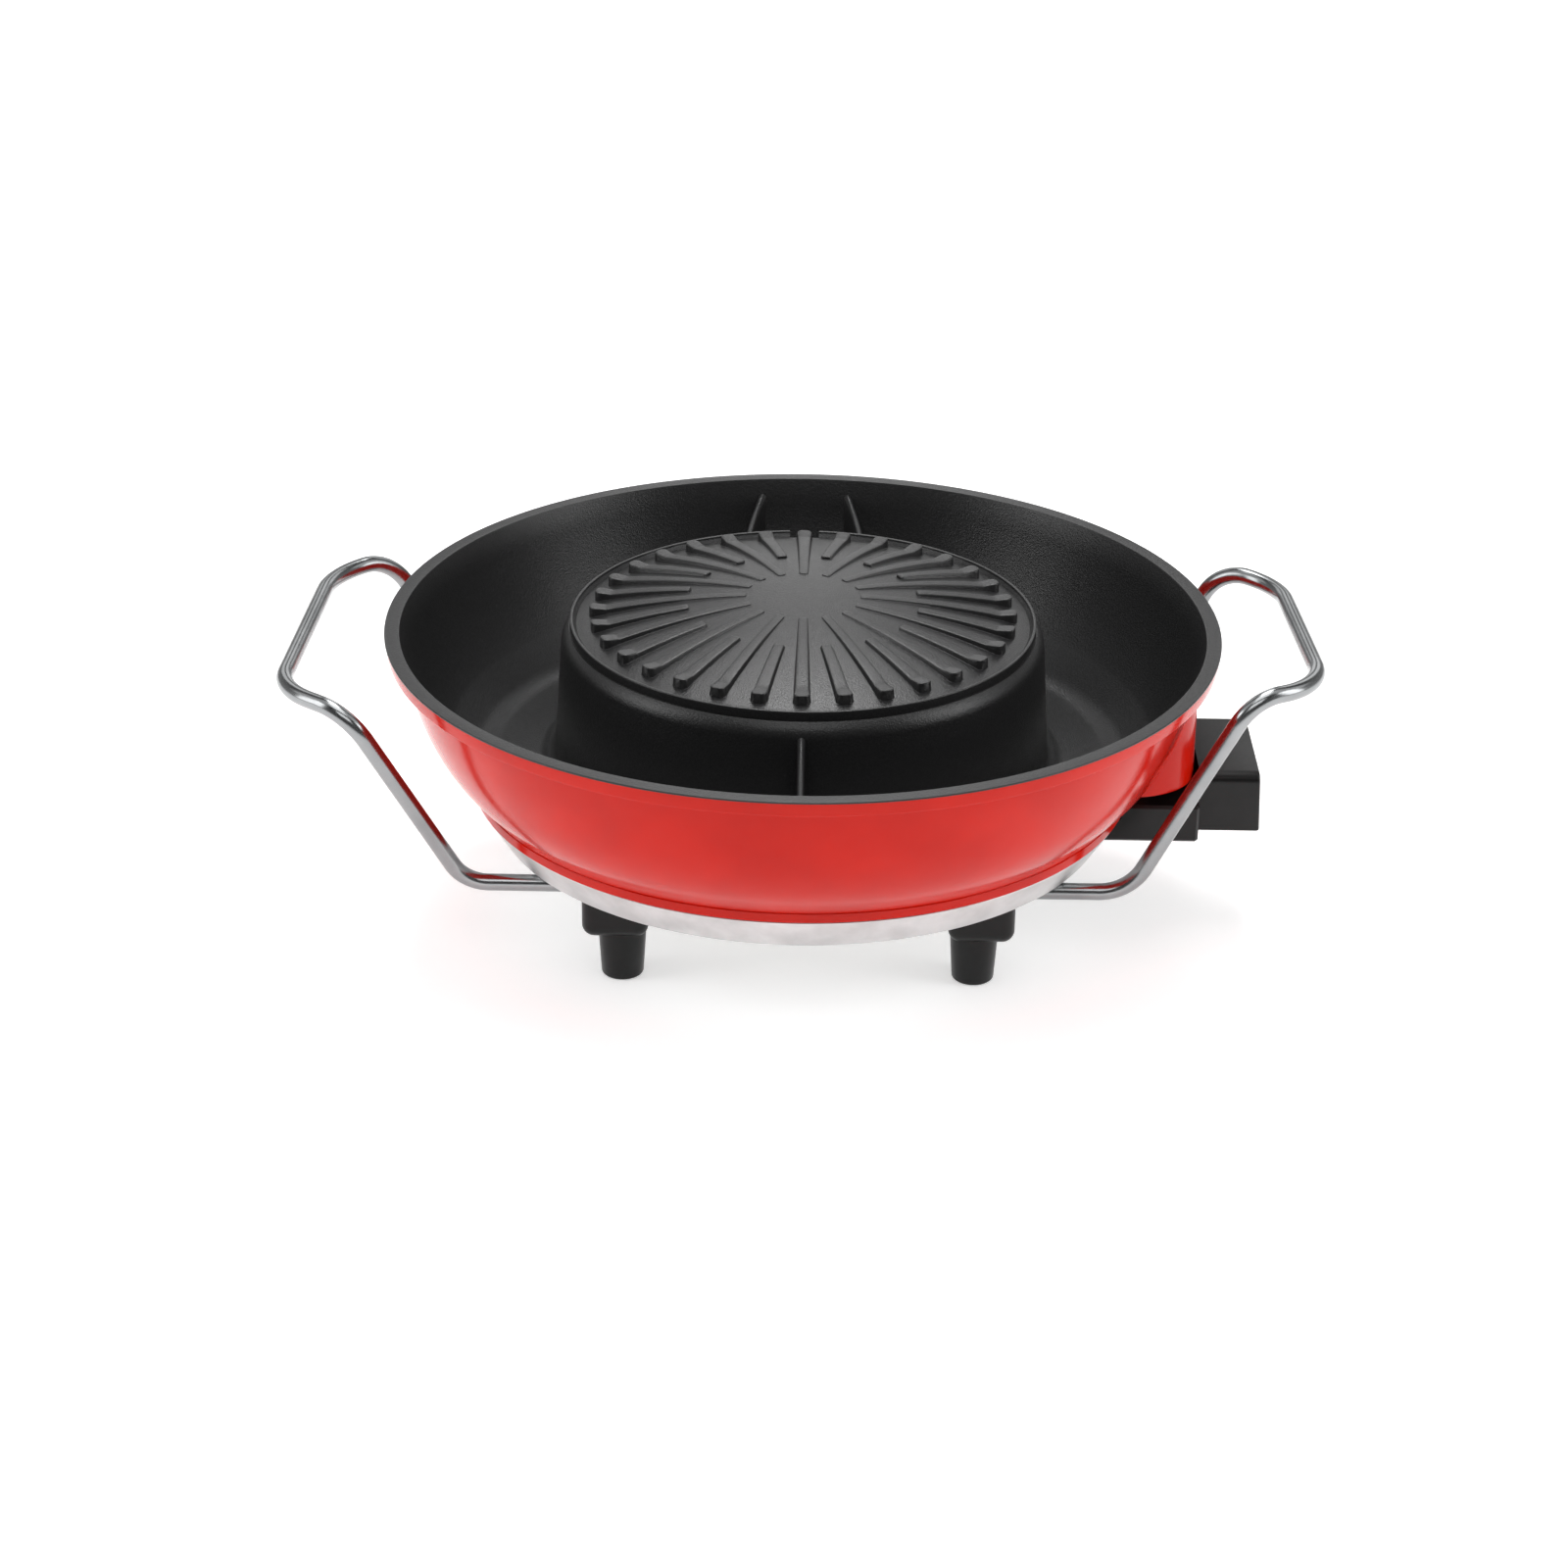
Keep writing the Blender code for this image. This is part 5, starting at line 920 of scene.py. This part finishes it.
def control_case(plastic):
    """The control's hollow box, with round upper edges and a pocket for the dial."""
    bm = box((CASE_START_X, -CASE_HALF_WIDTH, CASE_BOTTOM), (CASE_END_X, CASE_HALF_WIDTH, CASE_TOP))
    for vert in bm.verts:
        if vert.co.x > CASE_END_X - SKIN and vert.co.z > CASE_TOP - SKIN:
            vert.co.x -= CASE_END_DRAFT
    long_top = [edge for edge in bm.edges if min(v.co.z for v in edge.verts) > CASE_TOP - SKIN
                and abs(edge.verts[0].co.x - edge.verts[1].co.x) > CASE_WALL]
    bmesh.ops.bevel(bm, geom=long_top, offset=CASE_TOP_ROUND, segments=SOFT_CORNER_STEPS, profile=0.5,
                    affect="EDGES")
    sharp = [edge for edge in bm.edges if len(edge.link_faces) == 2
             and edge.calc_face_angle() > SMOOTH_ANGLE
             and max(v.co.x for v in edge.verts) > CASE_START_X + SKIN]
    bmesh.ops.bevel(bm, geom=sharp, offset=CASE_ROUND, segments=CASE_EDGE_STEPS, profile=0.5,
                    affect="EDGES")
    obj = piece("control_shell", bm, [plastic], "control", ["control_case"])
    hollow = box((CASE_START_X - OVERRUN, CASE_WALL - CASE_HALF_WIDTH, CASE_BOTTOM + CASE_WALL),
                 (DIAL_FLOOR_X - CASE_WALL, CASE_HALF_WIDTH - CASE_WALL, CASE_TOP - CASE_WALL))
    cut(obj, hollow, "hollow_cutter")
    pocket = revolve(rounded([(0, DIAL_FLOOR_X), (DIAL_POCKET_RADIUS, DIAL_FLOOR_X),
                              (DIAL_POCKET_RADIUS, CASE_END_X + OVERRUN), (0, CASE_END_X + OVERRUN)],
                             [0, DIAL_POCKET_ROUND, 0, 0]), ROUND_SEGMENTS)
    cut(obj, moved(along_x(pocket), (0, 0, DIAL_HEIGHT)), "pocket_cutter")


def dial_disc():
    """Disc with a finely grooved rim."""
    rings = []
    count = DIAL_GROOVES * 3
    for depth, scale in DISC_SECTION:
        ring = []
        for step in range(count):
            angle = math.tau * step / count
            groove = DIAL_GROOVE_SHARE * (1 - math.cos(angle * DIAL_GROOVES)) / 2
            radius = DIAL_RADIUS * (scale - groove)
            ring.append((depth, radius * math.cos(angle), radius * math.sin(angle)))
        rings.append(ring)
    return loft(rings)


def grip_bar():
    """Tapered bar with round ends across the disc."""
    rings = []
    for depth, shrink in GRIP_SECTION:
        half_width = DIAL_GRIP_WIDTH / 2 - shrink
        half_length = DIAL_GRIP_HALF_LENGTH - shrink
        ring = []
        for end in (1, -1):
            for step in range(ARC_STEPS * 2 + 1):
                angle = math.pi * step / (ARC_STEPS * 2)
                ring.append((depth, end * half_width * math.cos(angle),
                             end * (half_length - half_width + half_width * math.sin(angle))))
        rings.append(ring)
    return loft(rings)


def dial(plastic, print_paint):
    """The dial's knob, and a pale pointer line on its bar."""
    place = (DIAL_FLOOR_X, 0, DIAL_HEIGHT)
    knob = moved(merged([dial_disc(), grip_bar()]), place)
    piece("dial_grip", knob, [plastic], "dial", ["dial_knob"])
    line = box((DIAL_FRONT - TICK_HEIGHT, -TICK_WIDTH, DIAL_GRIP_WIDTH / 2),
               (DIAL_FRONT + TICK_HEIGHT / 2, TICK_WIDTH, POINTER_END))
    bmesh.ops.bevel(line, geom=line.edges[:], offset=TICK_WIDTH / 5, segments=2, affect="EDGES")
    piece("dial_pointer", moved(line, place), [print_paint], "dial")


def dial_marks(print_paint):
    """Plain ticks over the pointer's travel, from the top on, longer towards the hot end."""
    parts = []
    for index in range(TICK_COUNT):
        share = index / (TICK_COUNT - 1)
        length = TICK_SHORT + share * (TICK_LONG - TICK_SHORT)
        tick = box((0, -TICK_WIDTH / 2, TICK_RADIUS - length / 2),
                   (TICK_HEIGHT, TICK_WIDTH / 2, TICK_RADIUS + length / 2))
        bmesh.ops.bevel(tick, geom=tick.edges[:], offset=TICK_WIDTH / 6, segments=1, affect="EDGES")
        parts.append(turned(tick, math.radians(TICK_SWEEP_DEGREES * share), "X"))
    piece("dial_ticks", moved(merged(parts), (CASE_END_X, 0, DIAL_HEIGHT)), [print_paint], "control")


def soften(name, width, segments):
    """Round the edges of a CAD node that stays as it is."""
    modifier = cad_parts[name].modifiers.new("soft_edges", "BEVEL")
    modifier.width = width
    modifier.segments = segments
    modifier.limit_method = "ANGLE"
    modifier.angle_limit = SMOOTH_ANGLE


def dress(names, material):
    """Give solids that stay as packed their material."""
    for name in names:
        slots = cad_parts[name].data.materials
        slots.clear()
        slots.append(material)


def set_camera():
    """The photograph's own viewpoint, direction, roll and angle of view."""
    sin_t, cos_t = math.sin(CAMERA_TILT), math.cos(CAMERA_TILT)
    forward = Vector((math.sin(CAMERA_PAN) * cos_t, math.cos(CAMERA_PAN) * cos_t, -sin_t))
    right = forward.cross(Vector((0, 0, 1))).normalized()
    up = right.cross(forward)
    side = right * math.cos(CAMERA_ROLL) + up * math.sin(CAMERA_ROLL)
    top = up * math.cos(CAMERA_ROLL) - right * math.sin(CAMERA_ROLL)
    data = bpy.data.cameras.new("camera")
    data.lens = CAMERA_LENS
    data.sensor_width = CAMERA_SENSOR
    data.clip_end = FLOOR_SIZE * 2
    camera = bpy.data.objects.new("camera", data)
    rotation = Matrix((side, top, -forward)).transposed()
    camera.matrix_world = Matrix.Translation(CAMERA_PLACE) @ rotation.to_4x4()
    bpy.context.scene.collection.objects.link(camera)
    bpy.context.scene.camera = camera


def floor_material():
    """Pale floor with a faint glow of its own, like a light table."""
    look = Look("pale_floor")
    look.colour(look.noise(3.0, 2.0), (0.93, 0.93, 0.93), (0.95, 0.95, 0.95))
    look.shader.inputs["Roughness"].default_value = 0.8
    look.shader.inputs["Emission Color"].default_value = (1.0, 1.0, 1.0, 1.0)
    look.shader.inputs["Emission Strength"].default_value = FLOOR_GLOW
    return look.material


def add_floor():
    half = FLOOR_SIZE / 2
    corners = ((-half, -half), (half, -half), (half, half), (-half, half))
    bm = bmesh.new()
    bm.faces.new([bm.verts.new((x, y, -FLOOR_SINK)) for x, y in corners])
    obj = make_object("studio_floor", bm)
    obj.data.materials.append(floor_material())


def area_light(name, place, size, power):
    """A soft rectangular light that faces the object and stays out of the picture."""
    data = bpy.data.lights.new(name, "AREA")
    data.shape = "RECTANGLE"
    data.size, data.size_y = size
    data.energy = power
    light = bpy.data.objects.new(name, data)
    light.location = place
    aim = Vector(LIGHT_TARGET) - Vector(place)
    light.rotation_euler = aim.to_track_quat("-Z", "Y").to_euler()
    light.visible_camera = False
    bpy.context.scene.collection.objects.link(light)


def surroundings():
    """Pale walls round the floor, dimmer towards the front, under a dark ceiling."""
    world = bpy.data.worlds.new("studio")
    world.use_nodes = True
    nodes, links = world.node_tree.nodes, world.node_tree.links
    place = nodes.new("ShaderNodeTexCoord")
    split = nodes.new("ShaderNodeSeparateXYZ")
    ramp = nodes.new("ShaderNodeValToRGB")
    depth = nodes.new("ShaderNodeMapRange")
    depth.inputs["From Min"].default_value = WALL_DIM_END
    depth.inputs["From Max"].default_value = WALL_DIM_START
    depth.inputs["To Min"].default_value = FRONT_WALL_GLOW
    depth.inputs["To Max"].default_value = WALL_GLOW
    links.new(place.outputs["Generated"], split.inputs["Vector"])
    links.new(split.outputs["Z"], ramp.inputs["Fac"])
    links.new(split.outputs["Y"], depth.inputs["Value"])
    links.new(depth.outputs["Result"], nodes["Background"].inputs["Strength"])
    stops = ramp.color_ramp.elements
    stops.new(0.5)
    for stop, (height, shade) in zip(stops, WALL_SHADES):
        stop.position = height
        stop.color = (shade, shade, shade, 1.0)
    links.new(ramp.outputs["Color"], nodes["Background"].inputs["Color"])
    bpy.context.scene.world = world


def studio():
    surroundings()
    for name, place, size, power in MIDDLE_LIGHTS:
        area_light(name, place, size, power)
    for name, (x, y, z), size, power in SIDE_LIGHTS:
        area_light(f"{name}_left", (-x, y, z), size, power)
        area_light(f"{name}_right", (x, y, z), size, power * RIGHT_SIDE_GAIN)
    bpy.context.scene.view_settings.view_transform = "Standard"


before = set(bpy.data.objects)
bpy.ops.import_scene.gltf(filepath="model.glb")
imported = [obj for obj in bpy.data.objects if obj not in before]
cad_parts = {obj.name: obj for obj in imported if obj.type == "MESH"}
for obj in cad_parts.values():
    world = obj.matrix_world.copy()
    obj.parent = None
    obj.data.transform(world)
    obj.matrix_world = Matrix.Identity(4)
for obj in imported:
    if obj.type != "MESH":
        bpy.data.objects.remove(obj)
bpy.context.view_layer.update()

set_camera()
add_floor()
studio()

coat = coating()
paint = enamel()
bare = bare_aluminium()
moulding = black_plastic()
rubber = black_plastic("black_rubber", 0.012, (0.55, 0.7))
plated = plated_steel("plated_steel")
sheet_steel = plated_steel("plated_sheet", rough=(0.28, 0.42))
heater_steel = plated_steel("heater_steel", (0.10, 0.095, 0.09), (0.22, 0.20, 0.19), (0.38, 0.55))
brass = plated_steel("contact_brass", (0.55, 0.40, 0.15), (0.68, 0.52, 0.22))
white = ceramic()
wire_chrome = chrome()
mark = white_print()

casting(coat, paint, bare)
lip(coat)
ribs(coat)
dividers(coat)
shroud(paint)
skirt(bare)
cover(sheet_steel)
feet(moulding)
handle("left", wire_chrome)
handle("right", wire_chrome)
control_case(moulding)
dial(moulding, mark)
dial_marks(mark)

dress(["terminal_housing", "control_nose"], moulding)
dress(["cord_bushing"], rubber)
dress(["heating_element"], heater_steel)
dress([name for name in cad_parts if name.startswith("heater_clamp")], sheet_steel)
dress([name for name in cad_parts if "screw" in name], plated)
dress(["terminal_pin_front", "terminal_pin_back"], plated)
dress(["probe_guide", "probe_rod", "adjusting_shaft"], plated)
dress(["pin_insulator_front", "pin_insulator_back", "switch_block", "blade_spacer"], white)
dress(["contact_socket_front", "contact_socket_back"], brass)
dress(["contact_blade_fixed", "contact_blade_spring"], brass)
dress(["indicator_lens"], lens_amber())
dress(["indicator_lamp"], lamp_glass())
for node, width, steps in SOFT_EDGES:
    soften(node, width, steps)
